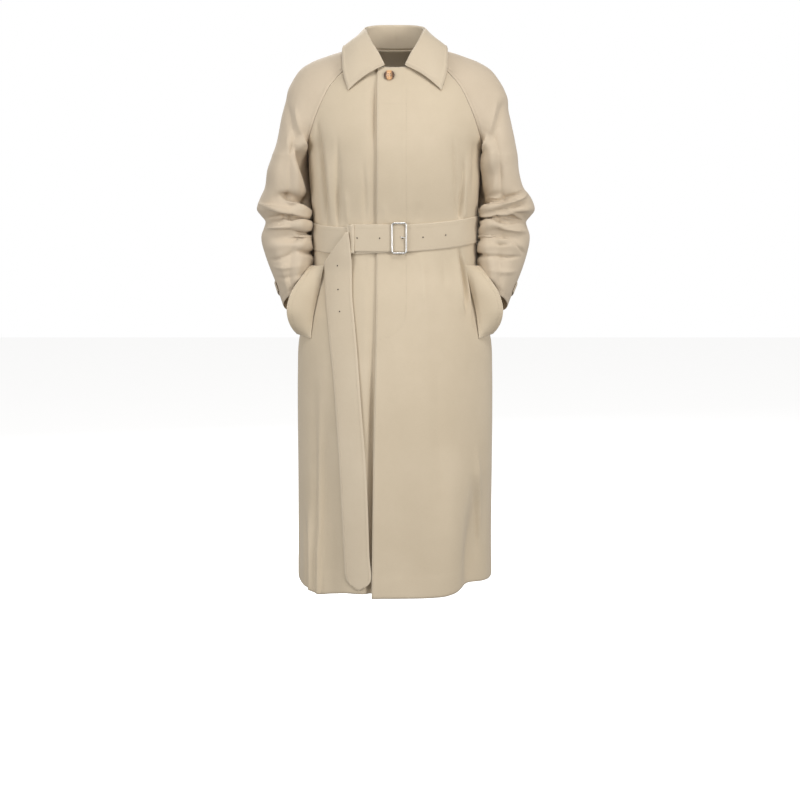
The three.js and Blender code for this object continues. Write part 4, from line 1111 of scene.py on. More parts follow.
def cloth_grid(point_at, spans, columns, facing, step, closed_from=None):
    """A grid over the spans of rows. closed_from is the row place where a tube starts."""
    rows = [fine_rows(point_at, low, high, step) for low, high in spans]
    rows = np.concatenate([rows[0], *(part[1:] for part in rows[1:])])
    i, j = lattice(rows, np.linspace(0, 1, columns + 1))
    start = None if closed_from is None else int(np.searchsorted(rows, closed_from - 1e-6))
    return Grid(point_at(i, j), facing, start)


def find(grid, x, z):
    """The fractional rows and columns of a front's grid where it has each x and z."""
    rows, columns = grid.points.shape[:2]
    i = np.full(len(x), rows / 2)
    j = np.full(len(x), columns / 4)
    for _ in range(6):
        for k in range(len(x)):
            column = grid.points[:, int(round(j[k])), 2]
            i[k] = np.interp(z[k], column, np.arange(rows))
            row = grid.points[int(round(i[k])), :, 0]
            order = np.argsort(row)
            j[k] = np.interp(x[k], row[order], np.arange(columns)[order])
    return i, j


# Lines of stitches, gathered by the thread's own piece
STITCH_RUNS = {"body": [], "sleeves": [], "collar": [], "belt": []}


def stitch(where, grid, inset, along="rows", from_end=False, start=0.0, end=1.0, proud=STITCH_PROUD):
    """A line of stitches down a grid's rows or along its columns, inset from their first or last point."""
    last = grid.points.shape[0 if along == "rows" else 1] - 1
    places = np.arange(round(start * last), round(end * last) + 1)
    runs = grid.across if along == "rows" else grid.down.T
    insets = np.array([along_run(runs[k], inset, from_end) for k in places])
    pair = (places, insets) if along == "rows" else (insets, places)
    STITCH_RUNS[where].append(grid.sample(*pair, proud))


def stitch_sides(where, grid, *insets, **settings):
    """Lines of stitches along both sides of a grid."""
    for from_end in (False, True):
        for inset in insets:
            stitch(where, grid, inset, from_end=from_end, **settings)


def groove(distance, inset, depth=STITCH_GROOVE[0], width=STITCH_GROOVE[1]):
    """The dent that a line of stitches pulls into the cloth."""
    return -depth * np.exp(-(((distance - inset) / width) ** 2))


# The panels

def even_out_chest(grid):
    """The cloth runs smoothly past the armpit, where the trunk's sections change."""
    near = np.exp(-(((grid.z - ARMPIT_Z) / ARMPIT_REACH) ** 2))
    weight = near * smooth(0, ARMPIT_CLEAR, np.minimum(grid.across, grid.from_end()))
    for _ in range(ARMPIT_PASSES):
        points = grid.points
        between = (points[:-2] + points[2:]) / 2 - points[1:-1]
        points[1:-1] += between * weight[1:-1, :, None] * 0.5
    grid.measure()


def hang_hem(grid):
    """The hem of a front rises and falls a little with its folds."""
    rise = read(HEM_RISE, "x", grid.x, "rise") * (1 - smooth(0, HEM_REACH, grid.z - HEM_Z))
    grid.points[..., 2] += rise
    grid.measure()


def panel_grid(point_at, columns, facing):
    """The grid of a front or of the back, from the hem to the neck."""
    grid = cloth_grid(point_at, [(0, ARMPIT_ROW), (ARMPIT_ROW, NECK_ROW)], columns, facing, PANEL_STEP)
    even_out_chest(grid)
    return grid


def panel_surface(grid, creases, side, seed, behind=False, shown=1):
    """A panel's creases and swells, pressed flat under the belt, and its turned-up hem."""
    height = crease_height(creases, grid.x, grid.z) * smooth(0, CREASE_CLEAR, side)
    height += ripple(grid.points, *PANEL_SWELL, seed) * smooth(0, SWELL_CLEAR, side)
    height = cinch(height * shown, grid.x, grid.z, behind)
    return (height + LAP_STEP * (1 - smooth(*HEM_FADE, grid.down - HEM_TURN))) * shown


def build_front_left():
    grid = panel_grid(over_front_point, PANEL_COLUMNS, -1)
    height = panel_surface(grid, FRONT_CREASES, grid.from_end(), 3)
    past_fly = grid.x - straight(FLY_STITCH, "z", grid.z, "x")
    height += groove(past_fly, 0, FLY["dent"], FLY["dent_width"]) * (grid.z > FLY_STITCH["z"][-1])
    height -= groove(past_fly, -FLY["ridge_inset"], LAP_STEP, FLY["ridge_width"])
    height += groove(grid.across, EDGE_STITCH) + EDGE_ROLL * (1 - smooth(0, EDGE_ROLL_WIDTH, grid.across))
    loose = (1 - smooth(0, FREE_EDGE["width"], grid.across)) * smooth(*FREE_EDGE["below"], -grid.z)
    grid.lift(height + FREE_EDGE["rise"] * loose)
    hang_hem(grid)
    stitch("body", grid, EDGE_STITCH)
    down = np.linspace(0, len(FLY_STITCH["at"]) - 1, 240)
    fly = (straight(FLY_STITCH, "at", down, "x"), straight(FLY_STITCH, "at", down, "z"))
    top_bar = (np.linspace(*FLY_TOP_BAR["x"], 30), np.full(30, FLY_TOP_BAR["z"]))
    for line in (fly, top_bar):
        STITCH_RUNS["body"].append(grid.sample(*find(grid, *line), STITCH_PROUD))
    return grid, shell("coat_front_left", grid)


def build_front_right():
    grid = panel_grid(under_front_point, PANEL_COLUMNS, 1)
    past_edge = grid.x - read(OVERLAP, "z", grid.z, "x")
    shown = 1 - smooth(*UNDER_FRONT_SHOWS, past_edge)
    height = panel_surface(grid, FRONT_CREASES, grid.from_end(), 3, shown=shown)
    hollow = read(OVERLAP_HOLLOW, "z", grid.z, "depth")
    grid.lift(height + groove(past_edge, -HOLLOW["inset"], hollow, HOLLOW["width"]))
    hang_hem(grid)
    return shell("coat_front_right", grid)


def build_back():
    grid = panel_grid(back_point, BACK_COLUMNS, 1)
    grid.lift(panel_surface(grid, BACK_CREASES, np.minimum(grid.across, grid.from_end()), 5, behind=True))
    return shell("coat_back", grid)


def fullness(grid, side):
    """How much fuller the sleeve stands on its outer side."""
    z = np.clip(grid.z, SLEEVE_FULLNESS["z"][-1], SLEEVE_FULLNESS["z"][0])
    outer = smooth(*SLEEVE_SIDES["outer"], side * grid.normals[..., 0])
    return read(SLEEVE_FULLNESS, "z", z, "left" if side > 0 else "right") * outer


def lean_on_body(grid, side):
    """How far the sleeve's inner side swells until it rests on the body, and on the belt at the waist."""
    x = side * grid.x
    y = grid.points[..., 1]
    z = grid.z
    half, in_front, _ = trunk_section(z, False)
    _, behind, _ = trunk_section(z, True)
    share = np.clip(np.abs(y) / np.where(y < 0, in_front, behind), 0, 1)
    body = half * (1 - share ** SECTION_POWER) ** (1 / SECTION_POWER)
    off_belt = np.abs(z - read(BELT, "round", np.ones(z.shape), "z"))
    layers = LEAN["rest"] + (BELT_THICK + CLOTH) * (1 - smooth(*LEAN["past_belt"], off_belt))
    gap = np.clip(x - body - layers, 0, LEAN["most"])
    inner = smooth(*SLEEVE_SIDES["inner"], -side * grid.normals[..., 0])
    return gap * inner * (1 - smooth(*LEAN["ends"], -z))


def build_sleeve(name, side, creases, seed):
    """A raglan sleeve with its creases, full outside and lying on the body inside."""
    last = RAGLAN_STEPS + len(SLEEVE["z"]) - 1

    def point_at(row, share):
        return sleeve_point(row, share, side)

    spans = [(0, RAGLAN_STEPS), (RAGLAN_STEPS, last)]
    grid = cloth_grid(point_at, spans, SLEEVE_COLUMNS, side, SLEEVE_STEP, closed_from=RAGLAN_STEPS)
    out = side * grid.x
    z = grid.z
    start = grid.closed_from
    seam = np.minimum(grid.across, grid.from_end())
    free = np.ones(z.shape)
    free[:start] = smooth(0, CREASE_CLEAR, seam[:start])
    below = grid.down[start:] - grid.down[start]
    free[start:] = smooth(0, ARMPIT_CLEAR, np.hypot(seam[start:], below))
    in_front = smooth(*SLEEVE_SIDES["face"], -grid.normals[..., 1])
    behind = smooth(*SLEEVE_SIDES["face"], grid.normals[..., 1])
    height = CREASE_DEPTH * crease_height(creases, out, z, 1.0) * in_front
    height += crease_height(BEHIND_SLEEVE_CREASES, out, z, 1.0) * behind
    beside_body = smooth(*SLEEVE_SIDES["hidden"], -side * grid.normals[..., 0])
    height *= 1 - beside_body * np.where(height > 0, *HIDDEN_EASE)
    height = (height + ripple(grid.points, *SLEEVE_RIPPLE, seed) * (1 - beside_body)) * free
    height += fullness(grid, side) + lean_on_body(grid, side) * free
    lap = np.zeros(z.shape)
    lap[:start] = SLEEVE_LAP * (1 - smooth(*LAP_FADE, seam[:start] - SEAM_STITCH))
    grid.lift(height + lap + groove(grid.down[-1:] - grid.down, CUFF_STITCH))
    stitch_sides("sleeves", grid, SEAM_STITCH, end=(start - 1) / (len(grid.points) - 1))
    stitch("sleeves", grid, CUFF_STITCH, along="columns", from_end=True)
    return shell(name, grid)


# The collar

def build_collar_fall():
    across, u = lattice(np.linspace(0, 1, 40), np.linspace(-1, 1, 281))
    grid = Grid(collar_fall_point(across, u), 1)
    lower = grid.down[-1:] - grid.down
    sides = np.minimum(grid.across, grid.from_end())
    edge = np.minimum(lower, sides)
    height = groove(edge, COLLAR_STITCH, *COLLAR_GROOVE) + COLLAR_ROLL * (1 - smooth(0, COLLAR_STITCH, edge))
    height += ripple(grid.points, *COLLAR_SWELL, 11) * smooth(0, COLLAR_SWELL_CLEAR, sides)
    grid.lift(height)
    stitch("collar", grid, COLLAR_STITCH, along="columns", from_end=True, start=0.02, end=0.98)
    stitch_sides("collar", grid, COLLAR_STITCH, end=0.93)
    return shell("coat_collar_fall", grid, thick=COLLAR_THICK)


def build_collar_stand():
    up, u = lattice(np.linspace(0, 1, 16), np.linspace(-1, 1, 241) * COLLAR_STAND_REACH)
    grid = Grid(collar_stand_point(up, u), -1)
    return shell("coat_collar_stand", grid)


# The pocket welts

def build_welt(name, side):
    last = len(WELT["at"]) - 1
    down, out = lattice(np.linspace(0, last, 80), np.linspace(0, 1, 40))
    grid = Grid(welt_point(down, out, side), side)
    free = grid.from_end()
    height = groove(free, EDGE_STITCH) + groove(free, WELT_STITCH)
    height += ripple(grid.points, *WELT_SWELL, 17)
    sewn = np.minimum(grid.across, np.minimum(grid.down, grid.down[-1:] - grid.down))
    height -= WELT_SINK * (1 - smooth(0, WELT_SINK_WIDTH, sewn))
    grid.lift(height)
    stitch("body", grid, EDGE_STITCH, from_end=True, start=0.02, end=0.98)
    stitch("body", grid, WELT_STITCH, from_end=True, start=0.03, end=0.97)
    for from_end in (False, True):
        stitch("body", grid, EDGE_STITCH, along="columns", from_end=from_end, start=0.04, end=0.93)
    return shell(name, grid, thick=WELT_SHELL)


# The belt

def strap_grid(points, facing):
    """A strap with both edges stitched: the stitches pull it in and its edges stay soft."""
    grid = Grid(points, facing)
    edge = np.minimum(grid.across, grid.from_end())
    height = groove(edge, EDGE_STITCH, *STRAP_GROOVE) + groove(edge, BELT_STITCH, *BELT_GROOVE)
    grid.lift(height + ripple(points, *STRAP_SWELL, 23))
    return grid


def build_belt_waist():
    rounds = np.linspace(BELT["round"][0], BELT["round"][-1], 560)
    round_at, height = lattice(rounds, np.linspace(-0.5, 0.5, 25) * BELT_WIDTH)
    centre = read(BELT, "round", round_at, "z")
    raised = read(BELT, "round", round_at, "raised")
    grid = strap_grid(waist_point(round_at, centre + height, raised), 1)
    stitch_sides("belt", grid, EDGE_STITCH, BELT_STITCH, proud=BELT_THICK + STITCH_PROUD)
    return grid, shell("coat_belt_waist", grid, thick=BELT_THICK, outside=True)


def build_belt_hitch():
    """The turn of the belt's end round the belt, pinched by its own pull."""
    down, across = lattice(np.linspace(0, 1, 40), np.linspace(0, 1, 30))
    x = HITCH["left"] + (HITCH["right"] - HITCH["left"]) * across
    z = HITCH["foot"] + (HITCH["top"] - HITCH["foot"]) * down
    raised = HITCH["raised"] - HITCH["edge_drop"] * smooth(HITCH["drop_from"], 1, 1 - across)
    pinch = HITCH["pinch"] * np.sin(across * math.pi * 3 + down * HITCH["slant"]) * np.sin(math.pi * down)
    grid = Grid(front_layer_point(x, z, raised + pinch), -1)
    stitch_sides("belt", grid, BELT_STITCH, proud=BELT_THICK + STITCH_PROUD)
    return shell("coat_belt_hitch", grid, thick=BELT_THICK, outside=True)


def build_belt_tail():
    last = len(TAIL["at"]) - 1
    row, across = lattice(fine_tail_rows(last), np.linspace(0, 1, 25))
    value = reader(TAIL, row)
    x = value("left") + (value("right") - value("left")) * across
    z = value("z")
    grid = strap_grid(front_layer_point(x, z, read(TAIL_LIFT, "z", z, "raised")), 1)
    stitch_sides("belt", grid, TAIL_STITCH, start=0.12, end=0.97, proud=BELT_THICK + STITCH_PROUD)
    return grid, shell("coat_belt_tail", grid, thick=BELT_THICK, outside=True)


def fine_tail_rows(last):
    """Row places at even heights down the belt's end."""
    rough = np.linspace(0, last, 600)
    z = read(TAIL, "at", rough, "z")
    return np.interp(np.linspace(0, 1, 300), (z[0] - z) / (z[0] - z[-1]), rough)


def build_belt_loop(name, round_at):
    half = BELT_WIDTH / 2
    reach = half + BELT_LOOP["past_belt"]
    height, across = lattice(np.linspace(reach, -reach, 60), np.linspace(-1, 1, 9))
    over = 1 - smooth(half + BELT_LOOP["bend_to"], half + BELT_LOOP["bend_from"], np.abs(height))
    raised = BELT_LOOP["raised"] + over * BELT_LOOP["over_belt"]
    place = round_at + BELT_LOOP["half_round"] * across
    centre = read(BELT, "round", np.full(place.shape, float(round_at)), "z")
    grid = Grid(waist_point(place, centre + height, raised), 1)
    stitch_sides("belt", grid, LOOP_STITCH, proud=CLOTH + STITCH_PROUD)
    return shell(name, grid, outside=True)


# Rods, turned shapes and their meshes

def weld(mesh):
    """Merges the points that lie on each other, so poles and seams are closed."""
    shape = bmesh.new()
    shape.from_mesh(mesh)
    bmesh.ops.remove_doubles(shape, verts=shape.verts, dist=1e-6)
    bmesh.ops.recalc_face_normals(shape, faces=shape.faces)
    shape.to_mesh(mesh)
    shape.free()
    return mesh


def ring_mesh(name, points, closed_rows=False):
    """A surface from rings of points, each ring closed on itself."""
    rows, columns = points.shape[:2]
    index = np.arange(rows * columns).reshape(rows, columns)
    if closed_rows:
        index = np.concatenate([index, index[:1]])
    index = np.concatenate([index, index[:, :1]], axis=1)
    quads = np.stack(quad_corners(index), axis=-1).reshape(-1, 4)
    mesh, _ = fill_mesh(name, points.reshape(-1, 3), quads)
    return weld(mesh)


def rod_points(path, radius, up, sides=16, closed=False):
    """Rings round a path. up is a direction that the path never takes."""
    path = np.asarray(path, float)
    if closed:
        tangents = unit(np.roll(path, -1, axis=0) - np.roll(path, 1, axis=0))
    else:
        tangents = unit(np.gradient(path, axis=0))
    side = unit(np.cross(tangents, np.asarray(up, float)))
    over = np.cross(side, tangents)
    turn = np.linspace(0, 2 * math.pi, sides, endpoint=False)
    radius = np.broadcast_to(radius, len(path))[:, None, None]
    ring = side[:, None] * np.cos(turn)[None, :, None] + over[:, None] * np.sin(turn)[None, :, None]
    return path[:, None] + ring * radius


def rounded_ends(count, radius, share=0.12):
    """A rod's radius along its length, rounded to nothing at both ends."""
    place = np.linspace(0, 1, count)
    end = np.clip(np.minimum(place, 1 - place) / share, 0, 1)
    return radius * np.sqrt(1 - (1 - end) ** 2)


def turned(name, profile, sides, centre, axis):
    """A shape turned round an axis through centre, from a profile of radii and heights."""
    axis = unit(np.asarray(axis, float))
    side = unit(np.cross(axis, np.array([0.0, 0.0, 1.0])))
    over = np.cross(axis, side)
    turn = np.linspace(0, 2 * math.pi, sides, endpoint=False)
    profile = np.asarray(profile, float)
    ring = side[None] * np.cos(turn)[:, None] + over[None] * np.sin(turn)[:, None]
    points = np.asarray(centre) + ring[None] * profile[:, :1, None] + axis * profile[:, 1:, None]
    return ring_mesh(name, points)


def joined(name, meshes):
    """One mesh from several."""
    shape = bmesh.new()
    for mesh in meshes:
        shape.from_mesh(mesh)
        bpy.data.meshes.remove(mesh)
    mesh = bpy.data.meshes.new(name)
    shape.to_mesh(mesh)
    shape.free()
    mesh.polygons.foreach_set("use_smooth", np.ones(len(mesh.polygons), dtype=bool))
    return mesh


# The buckle

def buckle_place():
    """The middle of the buckle."""
    return front_layer_point(np.array(BUCKLE["x"]), np.array(BUCKLE["z"]), BUCKLE["raised"])


def rounded_frame_path(half_wide, half_tall, radius):
    """A rectangle with round corners, in x and z."""
    path = []
    for side_x, side_z, start in ((1, 1, 0), (-1, 1, 90), (-1, -1, 180), (1, -1, 270)):
        for step in range(9):
            turn = math.radians(start + 90 * step / 8)
            path.append((
                side_x * (half_wide - radius) + radius * math.cos(turn),
                0,
                side_z * (half_tall - radius) + radius * math.sin(turn),
            ))
    return np.array(path)


def build_buckle_frame():
    centre = buckle_place()
    frame_path = centre + rounded_frame_path(BUCKLE["half_wide"], BUCKLE["half_tall"], BUCKLE["corner"])
    ring = rod_points(frame_path, BUCKLE["rod"], (0, 1, 0), closed=True)
    ring[..., 1] = centre[1] + (ring[..., 1] - centre[1]) * BUCKLE["flatness"]
    meshes = [ring_mesh("ring", ring, closed_rows=True)]
    reach = BUCKLE["bar_reach"]
    back = BUCKLE["bar_back"]
    bend = BUCKLE["bar_bend"]
    bar_path = [(0, 0, reach), (0, back, reach)]
    for step in range(9):
        turn = math.radians(90 * step / 8)
        bar_path.append((0, back + bend * math.sin(turn), reach - bend * (1 - math.cos(turn))))
    lower = [(x, y, -z) for x, y, z in reversed(bar_path)]
    path = centre + np.array(bar_path + lower)
    meshes.append(ring_mesh("bar", rod_points(path, rounded_ends(len(path), BUCKLE["bar"]), (1, 0, 0), 12)))
    return link("coat_buckle_frame", joined("coat_buckle_frame", meshes))


def build_buckle_prong():
    """The prong, from under the bar, out through the hole and over the frame."""
    centre = buckle_place()
    lift = PRONG["lift"]
    on_strap = PRONG["on_strap"] + BELT_THICK + PRONG["radius"] + PRONG["clear"] - BUCKLE["raised"]
    on_frame = BUCKLE["rod"] + PRONG["radius"] + PRONG["clear"]
    wide = BUCKLE["half_wide"]
    knots = np.array([
        (PRONG["start"], -on_strap, lift),
        (wide * 0.45, -on_strap - PRONG["arch"], lift * 0.7),
        (wide * 0.8, -on_frame - 0.0006, lift * 0.3),
        (wide + BUCKLE["rod"] * 0.6, -on_frame - 0.0002, 0),
    ])
    place = np.linspace(0, 3, 60)
    rows = table("x y z", *knots)
    path = centre + point(*(read(rows, "at", place, axis) for axis in "xyz"))
    radius = rounded_ends(len(path), PRONG["radius"], 0.06) * np.linspace(1.1, 0.85, len(path))
    mesh = ring_mesh("coat_buckle_prong", rod_points(path, radius, (0, 0, 1), 14))
    return link("coat_buckle_prong", mesh)


# The buttons and the eyelets

BUTTON = {"face": 0.615, "hole": 0.105, "spacing": 0.2, "lean": 0.25, "arch": 0.0004, "thread": 0.00028}
BUTTON_PROFILE = (
    (0, 0), (0.5, 0), (0.72, 0.02), (0.86, 0.16), (0.97, 0.38), (1, 0.52),
    (0.985, 0.72), (0.94, 0.88), (0.87, 0.98), (0.81, 1), (0.755, 0.95), (0.71, 0.85),
    (0.66, 0.75), (0.58, 0.68), (0.4, 0.63), (0.2, 0.61), (0, 0.6),
)


def button_holes(face, side, over, axis, radius):
    """The four holes of a button, not cut but shown as dark discs of painted shade."""
    hole = radius * BUTTON["hole"]
    well = [(0, -0.0002), (hole, -0.0002), (hole * 1.06, 0.00004), (hole * 0.9, 0.00008), (0, 0.00005)]
    spots = [
        face + (side * across + over * up) * radius * BUTTON["spacing"]
        for across, up in ((1, 1), (-1, 1), (-1, -1), (1, -1))
    ]
    return [turned("hole", well, 16, spot, axis) for spot in spots]


def button_threads(face, side, over, axis, radius):
    """The strands of thread from hole to hole, two on each side."""
    threads = []
    place = np.linspace(0, 1, 12)[:, None]
    for across in (1, -1):
        for strand in (-0.5, 0.5):
            lean = BUTTON["lean"] * strand
            start = face + (side * across * (1 + lean) + over) * radius * BUTTON["spacing"]
            end = face + (side * across * (1 - lean) - over) * radius * BUTTON["spacing"]
            line = start + (end - start) * place + axis * BUTTON["arch"] * np.sin(math.pi * place)
            threads.append(ring_mesh("thread", rod_points(line, BUTTON["thread"], side, 8)))
    return threads


def build_button(name, radius, thick, centre, axis):
    """A dished four-hole button, its thread and the painted shade of its holes."""
    profile = [(out * radius, up * thick) for out, up in BUTTON_PROFILE]
    button = link(name, turned(name, profile, 64, centre, axis))
    side = unit(np.cross(axis, np.array([0.0, 0.0, 1.0])))
    around = (centre + axis * thick * BUTTON["face"], side, np.cross(side, axis), axis, radius)
    holes = joined(f"{name}_holes", button_holes(*around))
    threads = joined(f"{name}_thread", button_threads(*around))
    return button, link(holes.name, holes), link(threads.name, threads)


def build_top_button(front):
    i, j = find(front, np.array([TOP_BUTTON["x"]]), np.array([TOP_BUTTON["z"]]))
    spot, axis = facing_spot(front, i[0], j[0], TOP_BUTTON["lift"])
    return build_button("coat_top_button", TOP_BUTTON["radius"], TOP_BUTTON["thick"], spot, axis)


def eyelet(spot, axis, holes, rings):
    """A stitched hole in the belt: a raised ring of thread round a dark disc of painted shade, as the hole is
    not cut.
    """
    side = unit(np.cross(axis, np.array([0.0, 0.0, 1.0])))
    over = np.cross(side, axis)
    turn = np.linspace(0, 2 * math.pi, 24, endpoint=False)[:, None]
    path = spot + (side * np.cos(turn) + over * np.sin(turn)) * EYELET["radius"] + axis * EYELET["proud"]
    ring = rod_points(path, EYELET["thread"], axis, 8, closed=True)
    rings.append(ring_mesh("ring", ring, closed_rows=True))
    radius = EYELET["radius"]
    half = EYELET["half_dark"]
    dark = [(0, -half), (radius, -half), (radius, half), (0, half)]
    holes.append(turned("hole", dark, 16, spot, axis))


def build_eyelets(strap, tail):
    """The holes along the middle of the belt and of its hanging end, each a disc of painted shade in a ring
    of thread.
    """
    holes = []
    rings = []
    middle = strap.points.shape[1] // 2
    before = strap.points[: len(strap.points) // 3, middle]
    for x in STRAP_HOLES:
        row = np.argmin(np.where(before[:, 1] < 0, np.abs(before[:, 0] - x), 9))
        eyelet(*facing_spot(strap, row, middle, BELT_THICK), holes, rings)
    middle = tail.points.shape[1] // 2
    for z in TAIL_HOLES:
        row = np.argmin(np.abs(tail.points[:, middle, 2] - z))
        eyelet(*facing_spot(tail, row, middle, BELT_THICK), holes, rings)
    return (
        link("coat_belt_holes", joined("coat_belt_holes", holes)),
        link("coat_belt_hole_rings", joined("coat_belt_hole_rings", rings)),
    )


# The cuff tabs

def build_cuff_tab(name, side):
    """A short buttoned tab round the back of the cuff."""
    height = CUFF_TAB["foot"] - CUFF_TAB["top"]
    length = CUFF_TAB["to"] - CUFF_TAB["from"]
    down, along = lattice(np.linspace(0, 1, 16), np.linspace(0, 1, 60))
    place = RAGLAN_STEPS + CUFF_TAB["top"] + height * down
    grid = Grid(sleeve_point(place, CUFF_TAB["from"] + length * along, side), side)
    grid.lift(fullness(grid, side) + CUFF_TAB["lift"])
    grid.lift(groove(grid.edge_distance(), EDGE_STITCH, *STRAP_GROOVE))
    for from_end in (False, True):
        stitch("sleeves", grid, EDGE_STITCH, along="columns", from_end=from_end, start=0.03, end=0.97,
               proud=CLOTH + STITCH_PROUD)
    button_row = 15 * (CUFF_BUTTON["place"] - CUFF_TAB["top"]) / height
    button_column = 59 * (CUFF_BUTTON["share"] - CUFF_TAB["from"]) / length
    lift = CLOTH + CUFF_BUTTON["lift"]
    return shell(name, grid, outside=True), *facing_spot(grid, button_row, button_column, lift)


# Stitches: one small thread bead set along each line

def stitch_tree(seed, material):
    """Nodes that set a stitch at each step along the lines of a mesh."""
    tree = bpy.data.node_groups.new("stitches", "GeometryNodeTree")
    tree.interface.new_socket("Geometry", in_out="INPUT", socket_type="NodeSocketGeometry")
    tree.interface.new_socket("Geometry", in_out="OUTPUT", socket_type="NodeSocketGeometry")
    lines = tree.nodes.new("NodeGroupInput").outputs[0]

    def node(kind, settings=None, **inputs):
        made = tree.nodes.new(kind)
        for key, value in (settings or {}).items():
            setattr(made, key, value)
        for key, value in inputs.items():
            socket = made.inputs[key.replace("_", " ")]
            if isinstance(value, bpy.types.NodeSocket):
                tree.links.new(value, socket)
            else:
                socket.default_value = value
        return made.outputs[0]

    curve = node("GeometryNodeMeshToCurve", Mesh=lines)
    spaced = node("GeometryNodeResampleCurve", {"mode": "LENGTH"}, Curve=curve, Length=STITCH["pitch"])
    bead = node("GeometryNodeMeshUVSphere", Segments=6, Rings=4, Radius=1.0)
    bead = node("GeometryNodeSetShadeSmooth", Geometry=bead)
    size = (STITCH["length"] / 2, STITCH["thread"], STITCH["thread"])
    tangent = node("GeometryNodeInputTangent")
    turn = node("FunctionNodeAlignRotationToVector", {"axis": "X"}, Vector=tangent)
    placed = node("GeometryNodeInstanceOnPoints", Points=spaced, Instance=bead, Rotation=turn, Scale=size)
    uneven = node("FunctionNodeRandomValue", {"data_type": "FLOAT_VECTOR"}, Min=STITCH["smallest"],
                  Max=STITCH["largest"], Seed=seed)
    varied = node("GeometryNodeScaleInstances", Instances=placed, Scale=uneven)
    real = node("GeometryNodeRealizeInstances", Geometry=varied)
    painted = node("GeometryNodeSetMaterial", Geometry=real, Material=material)
    tree.links.new(painted, tree.nodes.new("NodeGroupOutput").inputs[0])
    return tree


def build_stitches(name, runs, material, seed):
    """The thread of one group of stitched lines, as a plain mesh."""
    edges = []
    start = 0
    for run in runs:
        edges.extend((start + k, start + k + 1) for k in range(len(run) - 1))
        start += len(run)
    lines = bpy.data.meshes.new(f"{name}_lines")
    lines.from_pydata(np.concatenate(runs).tolist(), edges, [])
    holder = link(f"{name}_lines", lines)
    tree = stitch_tree(seed, material)
    holder.modifiers.new("stitches", "NODES").node_group = tree
    bpy.context.view_layer.update()
    mesh = bpy.data.meshes.new_from_object(holder.evaluated_get(bpy.context.evaluated_depsgraph_get()))
    bpy.data.objects.remove(holder)
    bpy.data.node_groups.remove(tree)
    mesh.name = name
    return link(name, mesh)


# Materials

def operator(operation, swapped=False):
    """A Python operator that adds a maths node."""
    def apply(self, other):
        return self.paint.maths(operation, *((other, self) if swapped else (self, other)))

    return apply


class Value:
    """A material's socket, on which sums are written as Python expressions."""

    __add__ = operator("ADD")
    __radd__ = operator("ADD", swapped=True)
    __sub__ = operator("SUBTRACT")
    __rsub__ = operator("SUBTRACT", swapped=True)
    __mul__ = operator("MULTIPLY")

    def __init__(self, paint, socket):
        self.paint = paint
        self.socket = socket

    def sine(self):
        return self.paint.maths("SINE", self)

    def size(self):
        return self.paint.maths("ABSOLUTE", self)

    def between(self, low, high):
        """0 at low, 1 at high, and straight in between."""
        return self.paint.node("ShaderNodeMapRange", {"clamp": True}, {
            "Value": self, "From Min": low, "From Max": high, "To Min": 0.0, "To Max": 1.0,
        })


class Paint:
    """A material, built from nodes."""

    def __init__(self, name):
        self.material = bpy.data.materials.new(name)
        self.material.use_nodes = True
        self.tree = self.material.node_tree
        self.tree.nodes.clear()

    def feed(self, socket, value):
        if isinstance(value, Value):
            self.tree.links.new(value.socket, socket)
        elif isinstance(value, (tuple, list)) and len(value) == 3 and socket.type == "RGBA":
            socket.default_value = (*value, 1.0)
        else:
            socket.default_value = value

    def node(self, kind, settings=None, inputs=None, output=0):
        """A node with its settings, then its sockets' values or links; gives one output."""
        made = self.tree.nodes.new(kind)
        for key, value in (settings or {}).items():
            if key == "stops":
                self.set_stops(made.color_ramp, value)
            else:
                setattr(made, key, value)
        for key, value in (inputs or {}).items():
            self.feed(made.inputs[key], value)
        return Value(self, made.outputs[output])

    def set_stops(self, ramp, stops):
        while len(ramp.elements) < len(stops):
            ramp.elements.new(0.5)
        for element, (place, colour) in zip(ramp.elements, stops):
            element.position = place
            element.color = (*colour, 1.0)

    def maths(self, operation, *values):
        return self.node("ShaderNodeMath", {"operation": operation}, dict(enumerate(values)))

    def mix(self, share, first, second):
        return self.node("ShaderNodeMix", {"data_type": "RGBA"}, {0: share, 6: first, 7: second}, 2)

    def scaled(self, vector, scale):
        return self.node("ShaderNodeVectorMath", {"operation": "MULTIPLY"}, {0: vector, 1: scale})

    def noise(self, vector, scale, detail=2.0, roughness=0.5):
        return self.node("ShaderNodeTexNoise", {"noise_dimensions": "3D"}, {
            "Vector": vector, "Scale": scale, "Detail": detail, "Roughness": roughness,
        })

    def bump(self, height, strength, distance):
        return self.node("ShaderNodeBump", {}, {
            "Height": height, "Strength": strength, "Distance": distance,
        })

    def place(self):
        return self.node("ShaderNodeTexCoord", output="Object")

    def axis(self, vector, letter):
        return self.node("ShaderNodeSeparateXYZ", {}, {0: vector}, letter)

    def finish(self, values):
        shader = self.node("ShaderNodeBsdfPrincipled", {}, values)
        end = self.tree.nodes.new("ShaderNodeOutputMaterial")
        self.tree.links.new(shader.socket, end.inputs["Surface"])
        return self.material


